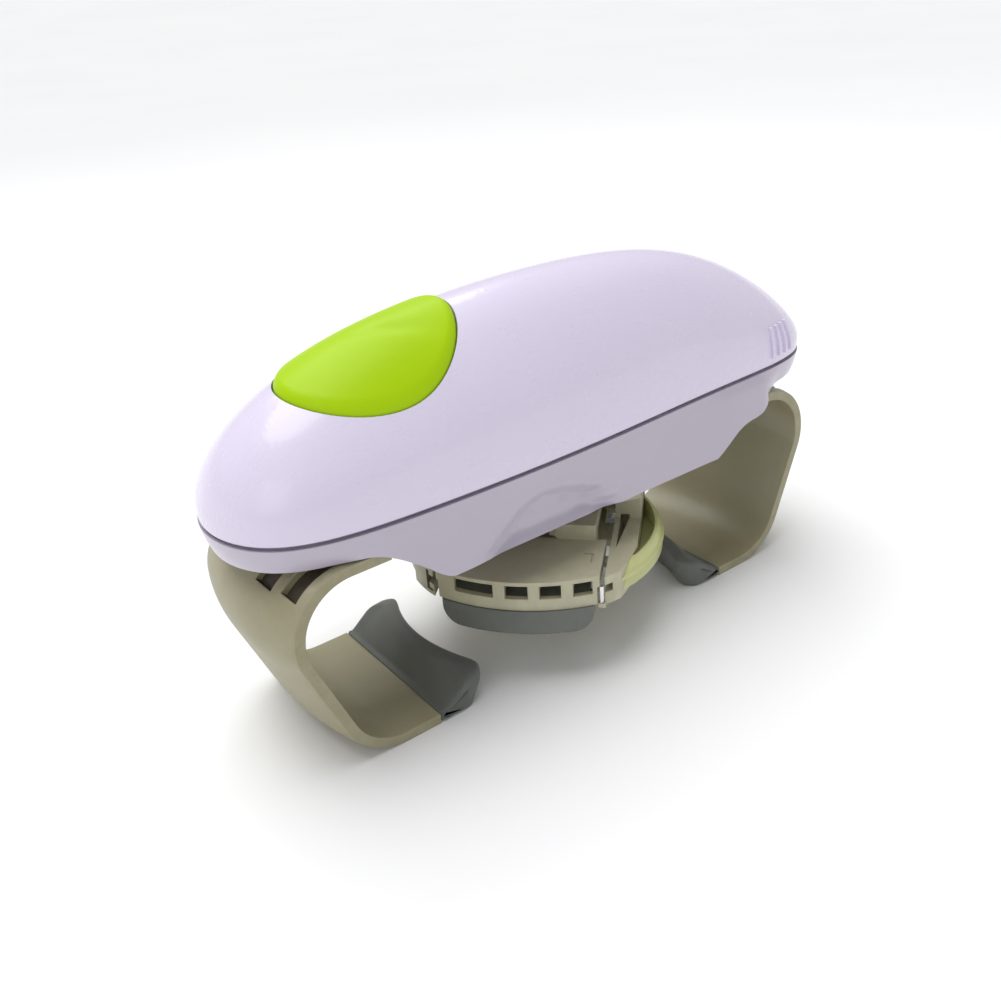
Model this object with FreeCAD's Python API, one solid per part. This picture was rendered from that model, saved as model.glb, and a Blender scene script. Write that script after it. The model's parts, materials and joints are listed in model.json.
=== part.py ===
import FreeCAD, Part
import math, os
from FreeCAD import Vector as V

os.makedirs("parts", exist_ok=True)

# ======================================================================
# Electric jar opener.  Millimetres, +Z up, origin on the surface that the
# object stands on, below the middle of the body.  +X runs along the body
# from the button end to the battery end.
# Most pieces are described about the turntable axis (x = y = 0) with z
# measured from the parting plane of the two body shells, and are moved to
# their place when they are written.
# ======================================================================

# ---------------- driving dimensions ----------------
PARTING_Z = 64.3        # parting plane above the standing surface
AXIS_X = -3.2           # turntable axis, along X, in the finished frame

BODY_HALF = 99.0        # half length of the egg-shaped body
BODY_XC = 3.2           # middle of the body beside the turntable axis
EGG_B = 27.5            # half width scale
EGG_P = (-0.163, 0.20, 0.154, 0.72)     # plan shape
EGG_H = 38.3            # dome height scale
EGG_Q = (0.01, 0.145, -0.178, -0.26)    # dome shape
EGG_EPS = 0.045         # flattening of the dome's shoulders
EGG_Z0 = 2.8            # widest level above the parting plane
EGG_D = 29.6            # depth scale of the tuck below the widest level
WALL = 2.2              # shell thickness
TIP_DEG = 1.5           # the egg's tips end in a flat this far from the pole
GROOVE = 1.0            # height of the groove between the shells

SKIRT_Z = -19.66        # straight bottom edge of the lower shell
SKIRT_X = 47.0          # half length of the skirt
SKIRT_Y = 28.7          # half width at the skirt's bottom edge
LIP = 0.35              # the lower shell's lip stands out this much
BAND_Z = -7.0           # bottom of the end bands

BTN_X0, BTN_X1 = -73.6, -26.2      # start button, ends
BTN_XW = -48.2          # widest station
BTN_W = 17.4            # half width
BTN_Y = -2.5            # the button sits a little toward the user
BTN_GAP = 0.40          # gap round the button
BTN_RISE = 1.4          # height of the button above the dome
BTN_TRAVEL = 1.6

ARM_W = 25.2            # half width of the outer arms
ARM_T = 2.9             # wall of the outer arms
ARM_Z1 = -10.35         # underside of the arm's top plate
ARM_XC = -93.5          # corner of plate and wall, at the arm's edges
ARM_BULGE = 4.0         # the wall stands out this much more in the middle
ARM_R1 = 14.16          # inner radius, top corner
ARM_LEAN = 20.87        # wall leans inward, degrees
ARM_R2 = 15.0           # inner radius, bottom corner
ARM_Z2 = -61.4          # upper face of the arm's floor
PAD_X = -53.7           # joint of arm floor and rubber pad
RACK_Y = 10.0           # pitch line of the arm racks
ARM_IN, ARM_OUT = 20.0, 14.0

TT_PSI = -138.0         # direction of the inner jaws' slide
TT_TOP = -33.5          # upper face of the guide beams
JAW_TOP = -32.2         # upper face of the jaw plates
TT_BOT = -41.0          # lower edge of the jaw rim
JPAD_BOT = -48.6        # lower edge of the inner rubber pads
JAW_HALF = 22.5         # half width of a jaw plate
RIM_HALF = 21.9         # half width of the jaw's rim
JAW_R = 50.0            # the rim is an arc of this radius
JAW_C = -13.2           # about this point of the slide line
RIM_T = 1.9             # thickness of the rim
BEAM_IN = 23.7          # guide beam, inner face
BEAM_OUT = 31.2         # guide beam, outer face
IN_PITCH = 7.0          # inner pinion pitch radius

PIN_R = 1.2             # gear axles
SHAFT_R = 2.5           # drive shaft
RUN = 0.05              # running clearance on radius

# ---------------- helpers ----------------
PLACE = V(AXIS_X, 0, PARTING_Z)
NODES = {}


def out(name, shape):
    s = shape.copy()
    s.translate(PLACE)
    NODES[name] = s
    s.exportStep("parts/%s.step" % name)


def cyl(r, z0, z1, x=0.0, y=0.0):
    return Part.makeCylinder(r, z1 - z0, V(x, y, z0))


def ring(r0, r1, z0, z1, x=0.0, y=0.0):
    return cyl(r1, z0, z1, x, y).cut(cyl(r0, z0 - 1, z1 + 1, x, y))


def box(x0, x1, y0, y1, z0, z1):
    return Part.makeBox(x1 - x0, y1 - y0, z1 - z0, V(x0, y0, z0))


def fuse(*s):
    r = s[0]
    for t in s[1:]:
        r = r.fuse(t)
    return r.removeSplitter()


def group(*s):
    return Part.makeCompound(list(s))


def spun(shape, deg):
    s = shape.copy()
    s.rotate(V(0, 0, 0), V(0, 0, 1), deg)
    return s


def prism(pts, z0, z1):
    w = Part.makePolygon([V(x, y, z0) for x, y in pts] + [V(pts[0][0], pts[0][1], z0)])
    return Part.Face(w).extrude(V(0, 0, z1 - z0))


def side_prism(edges, y0, y1):
    # closed wire in the XZ plane, pushed along Y
    w = Part.Wire(edges)
    f = Part.Face(w)
    f.translate(V(0, y0, 0))
    return f.extrude(V(0, y1 - y0, 0))


def seg(a, b):
    return Part.LineSegment(V(*a), V(*b)).toShape()


def spline(pts):
    c = Part.BSplineCurve()
    c.interpolate([V(*p) for p in pts])
    return c.toShape()


def rounded_rect(cx, cy, lx, ly, r, z0, z1):
    b = box(cx - lx / 2, cx + lx / 2, cy - ly / 2, cy + ly / 2, z0, z1)
    es = [e for e in b.Edges if abs(e.Vertexes[0].Z - e.Vertexes[1].Z) > 1e-6]
    return b.makeFillet(r, es)


def smooth(t):
    t = max(0.0, min(1.0, t))
    return t * t * (3 - 2 * t)


# smooth surface through a grid of points, cubic both ways
def knots(n):
    par = [i / (n - 1.0) for i in range(n)]
    k = [0.0] * 4
    for j in range(1, n - 3):
        k.append(sum(par[j:j + 3]) / 3.0)
    return par, k + [1.0] * 4


def basis(n, k, u):
    if u >= 1.0:
        return n - 4, [0.0, 0.0, 0.0, 1.0]
    s = 3
    while s < n - 1 and u >= k[s + 1]:
        s += 1
    N = [1.0]
    for d in range(1, 4):
        M = [0.0] * (d + 1)
        for r in range(d):
            lo, hi = k[s - d + 1 + r], k[s + 1 + r]
            w = N[r] / (hi - lo)
            M[r] += w * (hi - u)
            M[r + 1] += w * (u - lo)
        N = M
    return s - 3, N


def solve_rows(n):
    par, k = knots(n)
    rows = []
    for u in par:
        s, N = basis(n, k, u)
        row = [0.0] * n
        for i, v in enumerate(N):
            row[s + i] = v
        rows.append(row)
    # inverse by elimination
    A = [rows[i] + [1.0 if i == j else 0.0 for j in range(n)] for i in range(n)]
    for i in range(n):
        p = max(range(i, min(n, i + 5)), key=lambda r: abs(A[r][i]))
        A[i], A[p] = A[p], A[i]
        d = A[i][i]
        A[i] = [v / d for v in A[i]]
        for r in range(n):
            if r != i and abs(A[r][i]) > 1e-15:
                f = A[r][i]
                A[r] = [a - f * b for a, b in zip(A[r], A[i])]
    return [row[n:] for row in A], k


_INV = {}


def poles_of(points):
    n = len(points)
    if n not in _INV:
        _INV[n] = solve_rows(n)
    inv, k = _INV[n]
    res = []
    for i in range(n):
        x = y = z = 0.0
        for c, p in zip(inv[i], points):
            if c:
                x += c * p[0]
                y += c * p[1]
                z += c * p[2]
        res.append((x, y, z))
    return res


def grid_face(grid):
    nu, nv = len(grid), len(grid[0])
    rows = [poles_of(r) for r in grid]
    cols = [poles_of([rows[i][j] for i in range(nu)]) for j in range(nv)]
    poles = [[V(*cols[j][i]) for j in range(nv)] for i in range(nu)]
    ku, kv = knots(nu)[1], knots(nv)[1]
    s = Part.BSplineSurface()
    s.buildFromPolesMultsKnots(poles, [4] + [1] * (nu - 4) + [4], [4] + [1] * (nv - 4) + [4],
                               ku[3:nu + 1], kv[3:nv + 1], False, False, 3, 3)
    return s.toShape()


def solid_of(faces):
    sh = Part.makeShell(faces)
    if not sh.isClosed():
        sh.sewShape()
    s = Part.Solid(sh)
    if s.Volume < 0:
        s.reverse()
    return s


# ---------------- egg body ----------------
def poly(c, t):
    return 1 + c[0] * t + c[1] * t ** 2 + c[2] * t ** 3 + c[3] * t ** 4


def egg_w(t):
    return EGG_B * math.sqrt(max(0.0, 1 - t * t)) * poly(EGG_P, t)


def egg_h(t):
    return EGG_H * math.sqrt(max(0.0, 1 - t * t)) * poly(EGG_Q, t)


def side_k(z):
    """Tuck of the side below the widest level."""
    return math.sqrt(1 - ((EGG_Z0 - z) / EGG_D) ** 2)


SECT = [0, 2.5, 6, 11, 18, 26, 35, 45, 56, 67.5, 79, 90]


def dome_faces(inset, lift, zb, nt=41):
    """Skin of the upper body from the level zb up, and its two small end flats."""
    a = BODY_HALF - inset
    kw = (28.05 - inset) / 28.05
    kh = (EGG_H - inset + lift) / EGG_H
    tip = math.radians(TIP_DEG)
    ths = [math.radians(v) for v in SECT] + [math.pi - math.radians(v) for v in SECT[-2::-1]]
    grid = []
    for i in range(nt):
        tau = (-math.pi / 2 + tip) + (math.pi - 2 * tip) * i / (nt - 1)
        t = math.sin(tau)
        x = BODY_XC + a * t
        w, h = kw * egg_w(t), kh * egg_h(t)
        row = []
        lows = [(zb, side_k(zb)), ((zb + EGG_Z0) / 2, side_k((zb + EGG_Z0) / 2))]
        for z, k in lows:
            row.append((x, -w * k, z))
        for th in ths:
            rho = 1 - EGG_EPS * math.sin(2 * th) ** 2
            row.append((x, -w * rho * math.cos(th), EGG_Z0 + h * rho * math.sin(th)))
        for z, k in lows[::-1]:
            row.append((x, w * k, z))
        grid.append(row)
    f = grid_face(grid)
    caps = []
    for row in (grid[0], grid[-1]):
        x = row[0][0]
        es = [e for e in f.Edges if abs(e.valueAt(e.FirstParameter).x - x) < 1e-3 and abs(e.valueAt(e.LastParameter).x - x) < 1e-3]
        es.append(Part.LineSegment(V(*row[0]), V(*row[-1])).toShape())
        caps.append(Part.Face(Part.Wire(Part.__sortEdges__(es))))
    low = []
    for e in f.Edges:
        a0, a1 = e.valueAt(e.FirstParameter), e.valueAt(e.LastParameter)
        if abs(a0.z - zb) < 1e-3 and abs(a1.z - zb) < 1e-3 and abs(a0.x - a1.x) > 10:
            low.append(e)
    for row in (grid[0], grid[-1]):
        low.append(Part.LineSegment(V(*row[0]), V(*row[-1])).toShape())
    return [f] + caps, Part.Wire(Part.__sortEdges__(low))


def dome(inset=0.0, lift=0.0, zb=0.5):
    faces, w = dome_faces(inset, lift, zb)
    return solid_of(faces + [Part.Face(w)])


def dome_shell(wall, zb=0.5):
    fo, wo = dome_faces(0.0, 0.0, zb)
    fi, wi = dome_faces(wall, 0.0, zb)
    ringf = Part.Face(wo).cut(Part.Face(wi))
    return solid_of(fo + fi + ringf.Faces)


def dome_z(x, y):
    """Height of the dome over a plan point."""
    t = max(-1.0, min(1.0, (x - BODY_XC) / BODY_HALF))
    w, h = egg_w(t), egg_h(t)
    lo, hi = 0.0, math.pi / 2
    for _ in range(50):
        m = (lo + hi) / 2
        rho = 1 - EGG_EPS * math.sin(2 * m) ** 2
        if w * rho * math.cos(m) > abs(y):
            lo = m
        else:
            hi = m
    rho = 1 - EGG_EPS * math.sin(2 * lo) ** 2
    return EGG_Z0 + h * rho * math.sin(lo)


# plan contour at the parting plane
def contour(sig):
    t = math.sin(sig)
    if abs(abs(sig) - math.pi / 2) < 1e-9:
        return BODY_XC + BODY_HALF * t, 0.0
    return BODY_XC + BODY_HALF * t, egg_w(t) * side_k(0.0)


def contour_n(sig):
    if abs(sig + math.pi / 2) < 1e-9:
        return -1.0, 0.0
    if abs(sig - math.pi / 2) < 1e-9:
        return 1.0, 0.0
    x0, y0 = contour(sig - 1e-4)
    x1, y1 = contour(sig + 1e-4)
    dx, dy = x1 - x0, y1 - y0
    l = math.hypot(dx, dy)
    return -dy / l, dx / l


def contour_prism(inset, z0, z1, n=61):
    """Upright block bounded by the parting contour, moved in by inset."""
    wires = []
    for sgn in (-1, 1):
        pts = []
        for i in range(n):
            sig = -math.pi / 2 + math.pi * i / (n - 1)
            x, y = contour(sig)
            nx, ny = contour_n(sig)
            px, py = x - inset * nx, y - inset * ny
            if i in (0, n - 1):
                py = 0.0
            pts.append((px, sgn * py, z0))
        wires.append(spline(pts))
    f = Part.Face(Part.Wire(Part.__sortEdges__(wires)))
    return f.extrude(V(0, 0, z1 - z0))


# upper edge of the soft scoop in the skirt, from the button end to the battery end
SCOOP = 3.0             # depth of the scoop
SCOOP_LINE = [(-44.0, -19.7), (-36.2, -16.2), (-29.4, -10.8), (-24.3, -7.6), (-19.3, -6.0), (-12.7, -7.5), (-5.9, -9.1),
              (0.0, -11.5), (2.7, -15.5), (7.3, -19.0), (8.5, -19.7)]


def scoop_top(x):
    for (x0, z0), (x1, z1) in zip(SCOOP_LINE, SCOOP_LINE[1:]):
        if x0 <= x <= x1:
            return z0 + (z1 - z0) * (x - x0) / (x1 - x0)
    return None


def lower_offset(x, z, scoop):
    """How far the lower shell's side stands out of the parting contour."""
    e = smooth((x - 68.0) / 14.0) if x > 0 else smooth((-x - 60.0) / 18.0)
    zz = -z
    zt = min(zz, 9.0)
    tuck = 0.10 * zt + 0.020 * zt * zt
    xc = max(-62.0, min(70.0, x))
    t = (xc - BODY_XC) / BODY_HALF
    flare = LIP + (SKIRT_Y - egg_w(t) - LIP) * zz / -SKIRT_Z
    flare += 0.7 * smooth((x - 44.0) / 10.0) * smooth(zz / 4.0)
    d = (1 - e) * flare + e * (LIP - tuck)
    if scoop:
        top = scoop_top(x)
        if top is not None:
            run = 3.0 + 4.5 * smooth((-10.0 - x) / 26.0)
            d -= SCOOP * smooth((top - z) / run) * smooth((z - SKIRT_Z + 1.5) / 4.0)
    return d


LEVELS = [0.0, -1.5, -3.5, -5.5, -7.5, -9.5, -11.5, -13.5, -15.5, -17.0, -18.4, -20.0]


def lower_body(inset, scoop):
    ns = 61
    sides = []
    for sgn in (-1, 1):
        g = []
        for z in LEVELS:
            row = []
            for i in range(ns):
                sig = -math.pi / 2 + math.pi * i / (ns - 1)
                x, y = contour(sig)
                nx, ny = contour_n(sig)
                d = lower_offset(x, z, scoop) - inset
                px, py = x + d * nx, y + d * ny
                if i in (0, ns - 1):
                    py = 0.0
                row.append((px, sgn * py, z))
            g.append(row)
        sides.append(grid_face(g))
    caps = []
    for k, z in ((0, 0.0), (-1, LEVELS[-1])):
        es = []
        for f in sides:
            for e in f.Edges:
                if all(abs(v.Z - z) < 1e-6 for v in e.Vertexes) and abs(e.BoundBox.ZLength) < 1e-6 and e.Length > 20:
                    es.append(e)
        caps.append(Part.Face(Part.Wire(Part.__sortEdges__(es))))
    return solid_of(sides + caps)


def side_profile(dz, dx, zb):
    """Underside line of the lower shell: end bands, concave run, skirt."""
    L = [(-68.0 + dx, 0, BAND_Z + dz), (-63.5 + dx, 0, -8.3 + dz), (-58.5 + dx, 0, -11.4 + dz), (-54.0 + dx, 0, -14.9 + dz),
         (-50.0 + dx, 0, -18.2 + dz), (-SKIRT_X + dx, 0, SKIRT_Z + dz)]
    R = [(SKIRT_X - dx, 0, SKIRT_Z + dz), (50.0 - dx, 0, -17.9 + dz), (53.5 - dx, 0, -15.6 + dz), (57.5 - dx, 0, -13.6 + dz),
         (61.5 - dx, 0, -12.5 + dz), (66.0 - dx, 0, -12.0 + dz), (70.0 - dx, 0, -10.6 + dz), (74.0 - dx, 0, -8.6 + dz),
         (77.5 - dx, 0, BAND_Z + dz)]
    P0, P1 = (-130, 0, BAND_Z + dz), (130, 0, BAND_Z + dz)
    return side_prism([seg(P0, L[0]), spline(L), seg(L[-1], R[0]), spline(R), seg(R[-1], P1),
                       seg(P1, (130, 0, zb)), seg((130, 0, zb), (-130, 0, zb)), seg((-130, 0, zb), P0)], -60, 60)


# ---------------- gears ----------------
def gear(m, n, z0, z1, bore, add=0.8, ded=1.2, back=0.10, phase=0.0, x=0.0, y=0.0, rim=None):
    """Involute spur gear, 20 degrees.  phase puts a tooth's middle at that angle."""
    pa = math.radians(20)
    rp = m * n / 2.0
    rb = rp * math.cos(pa)
    ra = rp + add * m
    rf = rp - ded * m
    half = math.pi / (2 * n) - back / 2 / rp      # half tooth angle at the pitch circle
    inv = math.tan(pa) - pa

    def ang(r):
        if r <= rb:
            return half + inv
        a = math.acos(rb / r)
        return half + inv - (math.tan(a) - a)
    r0 = max(rf, rb)
    rs = [r0 + (ra - r0) * k / 5.0 for k in range(6)]
    edges = []
    pitch = 2 * math.pi / n
    for i in range(n):
        c = math.radians(phase) + i * pitch

        def P(r, a):
            return V(x + r * math.cos(c + a), y + r * math.sin(c + a), z0)
        up = [P(r, -ang(r)) for r in rs]
        dn = [P(r, ang(r)) for r in reversed(rs)]
        if rf < rb - 1e-6:
            edges.append(Part.LineSegment(P(rf, -ang(rb)), up[0]).toShape())
        b = Part.BSplineCurve()
        b.interpolate(up)
        edges.append(b.toShape())
        edges.append(Part.Arc(up[-1], P(ra, 0), dn[0]).toShape())
        b = Part.BSplineCurve()
        b.interpolate(dn)
        edges.append(b.toShape())
        if rf < rb - 1e-6:
            edges.append(Part.LineSegment(dn[-1], P(rf, ang(rb))).toShape())
        a0 = ang(max(rf, rb) if rf < rb else rf)
        nxt = pitch - ang(rb if rf < rb else rf)
        edges.append(Part.Arc(P(rf, a0), P(rf, pitch / 2), P(rf, nxt)).toShape())
    w = Part.Wire(edges)
    f = Part.Face(w)
    s = f.extrude(V(0, 0, z1 - z0))
    if bore:
        s = s.cut(cyl(bore, z0 - 1, z1 + 1, x, y))
    return s


def rack_profile(m, x0, x1, add=0.8, ded=1.2, back=0.10):
    """Tooth line from x0 to x1 about y = 0, teeth pointing to -y, a gap at x = 0."""
    p = math.pi * m
    t20 = math.tan(math.radians(20))
    pts = []
    k0 = int(math.floor(x0 / p)) + 1
    k1 = int(math.ceil(x1 / p)) - 1
    hw = p / 4 - back / 2
    for k in range(k0, k1):
        c = (k + 0.5) * p
        pts += [(c - hw - ded * m * t20, ded * m), (c - hw + add * m * t20, -add * m),
                (c + hw - add * m * t20, -add * m), (c + hw + ded * m * t20, ded * m)]
    return pts


# ======================================================================
# Body shells
# ======================================================================
dome_out = dome(0, 0, GROOVE / 2)
dome_in = dome(WALL, 0, GROOVE / 2)
BIG = 140.0
skin = dome_shell(WALL, GROOVE / 2)
upper = skin.copy()


def btn_outline(grow=0.0, n=28):
    pts = []
    for i in range(n):
        a = 2 * math.pi * i / n
        c, s = math.cos(a), math.sin(a)
        lx = (BTN_XW - BTN_X0 + grow) if c < 0 else (BTN_X1 - BTN_XW + grow)
        pts.append(V(BTN_XW + lx * c, BTN_Y + (BTN_W + grow) * s, 0))
    c = Part.BSplineCurve()
    c.interpolate(pts, PeriodicFlag=True)
    return Part.Wire([c.toShape()])


def btn_prism(grow, z0, z1):
    f = Part.Face(btn_outline(grow))
    f.translate(V(0, 0, z0))
    return f.extrude(V(0, 0, z1 - z0))


upper = upper.cut(btn_prism(BTN_GAP, 5, 60))

# screw bosses of the upper shell
CASE_SCREWS = [(-26, -22.4), (-26, 22.4), (26, -22.4), (26, 22.4), (90.0, 0.0), (-86.0, 0.0)]
for (bx, by) in CASE_SCREWS:
    b = cyl(3.1, GROOVE / 2, 34, bx, by).common(dome(0.6, 0, GROOVE / 2))
    upper = upper.fuse(b)
for (bx, by) in CASE_SCREWS:
    upper = upper.cut(cyl(1.15, -1, 9.0, bx, by))

# battery opening on the far side, with its cover
DOOR_X0, DOOR_X1, DOOR_Z0, DOOR_Z1 = 31.0, 82.0, 3.2, 18.4


def door_tool(grow, y0=6.0):
    b = box(DOOR_X0 - grow, DOOR_X1 + grow, y0, 60, DOOR_Z0 - grow, DOOR_Z1 + grow)
    es = [e for e in b.Edges if abs(e.Vertexes[0].Y - e.Vertexes[1].Y) > 1e-6]
    return b.makeFillet(3.0 + grow, es)


upper = upper.cut(door_tool(0.3))
door = skin.common(door_tool(0.0))
door = fuse(door, box(33.0, 41.0, 14, 60, 5.0, 6.4).common(dome_in).cut(dome(WALL + 3.2, 0, GROOVE / 2)),
            box(72.0, 80.0, 14, 60, 5.0, 6.4).common(dome_in).cut(dome(WALL + 3.2, 0, GROOVE / 2)))

# thumb ribs at the battery end
ribs = []
for ang_ in (-96, -88, -80, -72, 54, 62):
    a = math.radians(ang_)
    bx = Part.makeBox(34, 1.2, 9.0, V(0, -0.6, 2.6))
    cx_, cy_ = BODY_XC + BODY_HALF - 24.0, 0.0
    bx.rotate(V(0, 0, 0), V(0, 0, 1), ang_)
    bx.translate(V(cx_, cy_, 0))
    r_ = bx.common(dome(-0.8, 0, GROOVE / 2)).cut(dome(0.5, 0, GROOVE / 2))
    if r_.Solids:
        ribs.append(max(r_.Solids, key=lambda s: s.Volume))
for r_ in ribs:
    upper = upper.fuse(r_)
upper = upper.removeSplitter()
upper = max(upper.Solids, key=lambda s: s.Volume)

# ---- lower shell ----
low_out = lower_body(0.0, True).common(side_profile(0, 0, 30)).common(box(-BIG, BIG, -60, 60, -40, -GROOVE / 2))
cav = lower_body(WALL, True).common(side_profile(WALL, 1.6, 30))
cav = cav.cut(box(-BIG, -46.0, -60, 60, -40, BAND_Z + 2.0)).cut(box(46.0, BIG, -60, 60, -40, BAND_Z + 2.0))
# room for the arm plates below the shelf
chan = lower_body(WALL, True).common(side_profile(WALL, 1.6, 30)).common(box(-66.5, 80.0, -60, 60, -40, -7.2))
lower = low_out.cut(cav).cut(chan)
for x0, x1 in ((-75.0, -41.0), (41.0, 80.0)):
    lower = lower.cut(box(x0, x1, -ARM_W - 0.4, ARM_W + 0.4, ARM_Z1 - 2.45, ARM_Z1 + ARM_T + 0.25))
# upright lip that lies behind the groove
lip_top = contour_prism(1.15, -0.6, GROOVE / 2 - 0.04).cut(contour_prism(2.0, -1.0, 1.0))
lip_top = lip_top.cut(door_tool(1.0))
lower = lower.fuse(lip_top)
# bosses, pillars and floor openings
for (bx, by) in CASE_SCREWS[:4]:
    lower = lower.fuse(cyl(3.1, SKIRT_Z + 1.0, -0.1, bx, by))
for (bx, by) in CASE_SCREWS[4:]:
    lower = lower.fuse(cyl(3.1, BAND_Z + 0.6, -0.1, bx, by))
PILLARS = [(-24.0, 0.0), (17.5, 0.0), (-4.0, 22.0), (-4.0, -22.0)]
GB_Z0 = -3.4
for (bx, by) in PILLARS:
    lower = lower.fuse(cyl(2.5, SKIRT_Z + 1.0, GB_Z0, bx, by))
PCB_POSTS = [(-67.0, 8.8), (-67.0, -8.8), (-49.0, 8.8), (-49.0, -8.8)]
PCB_Z = 8.0
for (bx, by) in PCB_POSTS:
    lower = lower.fuse(cyl(2.3, BAND_Z + 1.0, PCB_Z, bx, by))
for (bx, by) in [(52.0, 10.0), (52.0, -10.0), (76.0, 8.0), (76.0, -8.0)]:
    lower = lower.fuse(cyl(2.3, BAND_Z + 1.0, 0.2, bx, by))
lower = lower.cut(cyl(9.0, -25, -10))
for (bx, by) in CASE_SCREWS[:4]:
    lower = lower.cut(cyl(1.45, -30, 0, bx, by)).cut(cyl(2.7, -30, SKIRT_Z + 4.0, bx, by))
for (bx, by) in CASE_SCREWS[4:]:
    lower = lower.cut(cyl(1.45, -30, 0, bx, by)).cut(cyl(2.7, -30, BAND_Z + 2.2, bx, by))
for (bx, by) in PILLARS:
    lower = lower.cut(cyl(0.95, -12.0, GB_Z0 + 1, bx, by))
for (bx, by) in PCB_POSTS:
    lower = lower.cut(cyl(0.9, 2.0, PCB_Z + 1, bx, by))
merged = lower.removeSplitter()
if merged.isValid():
    lower = merged
lower = max(lower.Solids, key=lambda s: s.Volume)

out("upper_shell", upper)
out("lower_shell", lower)
out("battery_cover", max(door.Solids, key=lambda s: s.Volume))


# case screws: pan heads in the counterbores, shanks up into the upper shell
def screw(x, y, z_head, head_r, head_h, shank_r, top):
    h = cyl(head_r, z_head - head_h, z_head, x, y)
    s = cyl(shank_r, z_head - 0.2, top, x, y)
    r = h.fuse(s)
    a = box(x - head_r * 0.6, x + head_r * 0.6, y - 0.3, y + 0.3, z_head - head_h - 1, z_head - head_h + 0.7)
    b = box(x - 0.3, x + 0.3, y - head_r * 0.6, y + head_r * 0.6, z_head - head_h - 1, z_head - head_h + 0.7)
    return r.cut(a).cut(b).removeSplitter()


out("case_screws", group(*[screw(x, y, SKIRT_Z + 4.0, 2.4, 1.6, 1.15, 8.0) for x, y in CASE_SCREWS[:4]],
                         *[screw(x, y, BAND_Z + 2.2, 2.4, 1.6, 1.15, 8.0) for x, y in CASE_SCREWS[4:]]))

# ======================================================================
# Start button, its spring, the switch and the circuit board
# ======================================================================
raised = dome_out.copy()
raised.translate(V(0, 0, BTN_RISE))
flange_top = dome(WALL + 0.35, 0, 2.0)
body_b = raised.common(btn_prism(0.0, 10, 60))
low_b = dome(WALL + 2.2, 0, 2.0)
flange = flange_top.common(btn_prism(1.6, 10, 60)).cut(low_b)
hollow = dome(WALL, 0, 2.0)
hollow.translate(V(0, 0, BTN_RISE))
button = body_b.cut(hollow.common(btn_prism(-2.4, 5, 60))).cut(low_b)
button = button.fuse(flange.cut(btn_prism(-2.4, 5, 60)))
# keep only what lies above the flange's lower face
STEM_X = -50.0
SWITCH_TOP = 18.1
WEB_Z = 26.2
stem_top = dome_z(STEM_X, 0) + 0.4
stem = cyl(2.2, SWITCH_TOP + 0.05, stem_top, STEM_X, 0)
web_top = dome(WALL - 0.3, 0, 2.0)
web_top.translate(V(0, 0, BTN_RISE))
web1 = box(STEM_X - 12, STEM_X + 12, -0.7, 0.7, WEB_Z, 48).common(web_top)
web2 = box(STEM_X - 0.7, STEM_X + 0.7, -11, 11, WEB_Z, 48).common(web_top)
button = button.fuse(stem).fuse(web1.common(btn_prism(-1.0, 5, 60))).fuse(web2.common(btn_prism(-1.0, 5, 60)))
button = button.removeSplitter()
button = max(button.Solids, key=lambda s: s.Volume)
out("start_button", button)

# button bridge: a shelf over the board that guides the stem and carries the spring
SHELF = 19.5
bridge = rounded_rect(-57.15, 0, 26.3, 22.4, 3.0, SHELF - 1.6, SHELF)
bridge = fuse(bridge, *[cyl(2.2, PCB_Z + 1.7, SHELF - 0.5, x, y) for x, y in PCB_POSTS])
bridge = bridge.fuse(ring(2.28, 3.6, SHELF - 0.2, SHELF + 2.2, STEM_X, 0)).cut(cyl(2.28, 5, 40, STEM_X, 0))
for (bx, by) in PCB_POSTS:
    bridge = bridge.cut(cyl(1.05, 5, 40, bx, by))
# opening over the switch
bridge = bridge.removeSplitter()
out("button_bridge", bridge)


def coil(r, wire, z0, z1, turns, x=0.0, y=0.0):
    """Wire spring, eight flats round the wire and sixteen steps to a turn."""
    n = int(round(turns * 16))
    w8 = wire / math.cos(math.pi / 8)
    ws = []
    for i in range(n + 1):
        a = 2 * math.pi * turns * i / n
        zc = z0 + wire + (z1 - z0 - 2 * wire) * i / n
        q = []
        for k in range(8):
            b = math.pi / 8 + k * math.pi / 4
            rr = r + w8 * math.cos(b)
            q.append(V(x + rr * math.cos(a), y + rr * math.sin(a), zc + w8 * math.sin(b)))
        ws.append(Part.makePolygon(q + [q[0]]))
    s = Part.makeLoft(ws, True, True)
    if s.Volume < 0:
        s.reverse()
    return s


spring = coil(4.6, 0.4, SHELF + 0.02, WEB_Z - 0.02, 4, STEM_X, 0)
out("button_spring", spring)

SW_X = STEM_X
PCB_T = 1.6
sw = box(SW_X - 6.4, SW_X + 6.4, -3.0, 3.0, PCB_Z + PCB_T, PCB_Z + PCB_T + 6.4)
sw = sw.cut(cyl(0.55, 0, 30, SW_X - 4.5, 0)).cut(box(SW_X - 1.35, SW_X + 1.35, -1.0, 1.0, PCB_Z + PCB_T + 3.2, 30))
out("micro_switch", sw)
pl = box(SW_X - 1.3, SW_X + 1.3, -0.95, 0.95, PCB_Z + PCB_T + 4.9, SWITCH_TOP)
pl = pl.makeFillet(0.5, [e for e in pl.Edges if abs(e.Vertexes[0].Z - SWITCH_TOP) < 1e-6 and abs(e.Vertexes[1].Z - SWITCH_TOP) < 1e-6 and e.Length > 2])
out("switch_plunger", pl)

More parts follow.
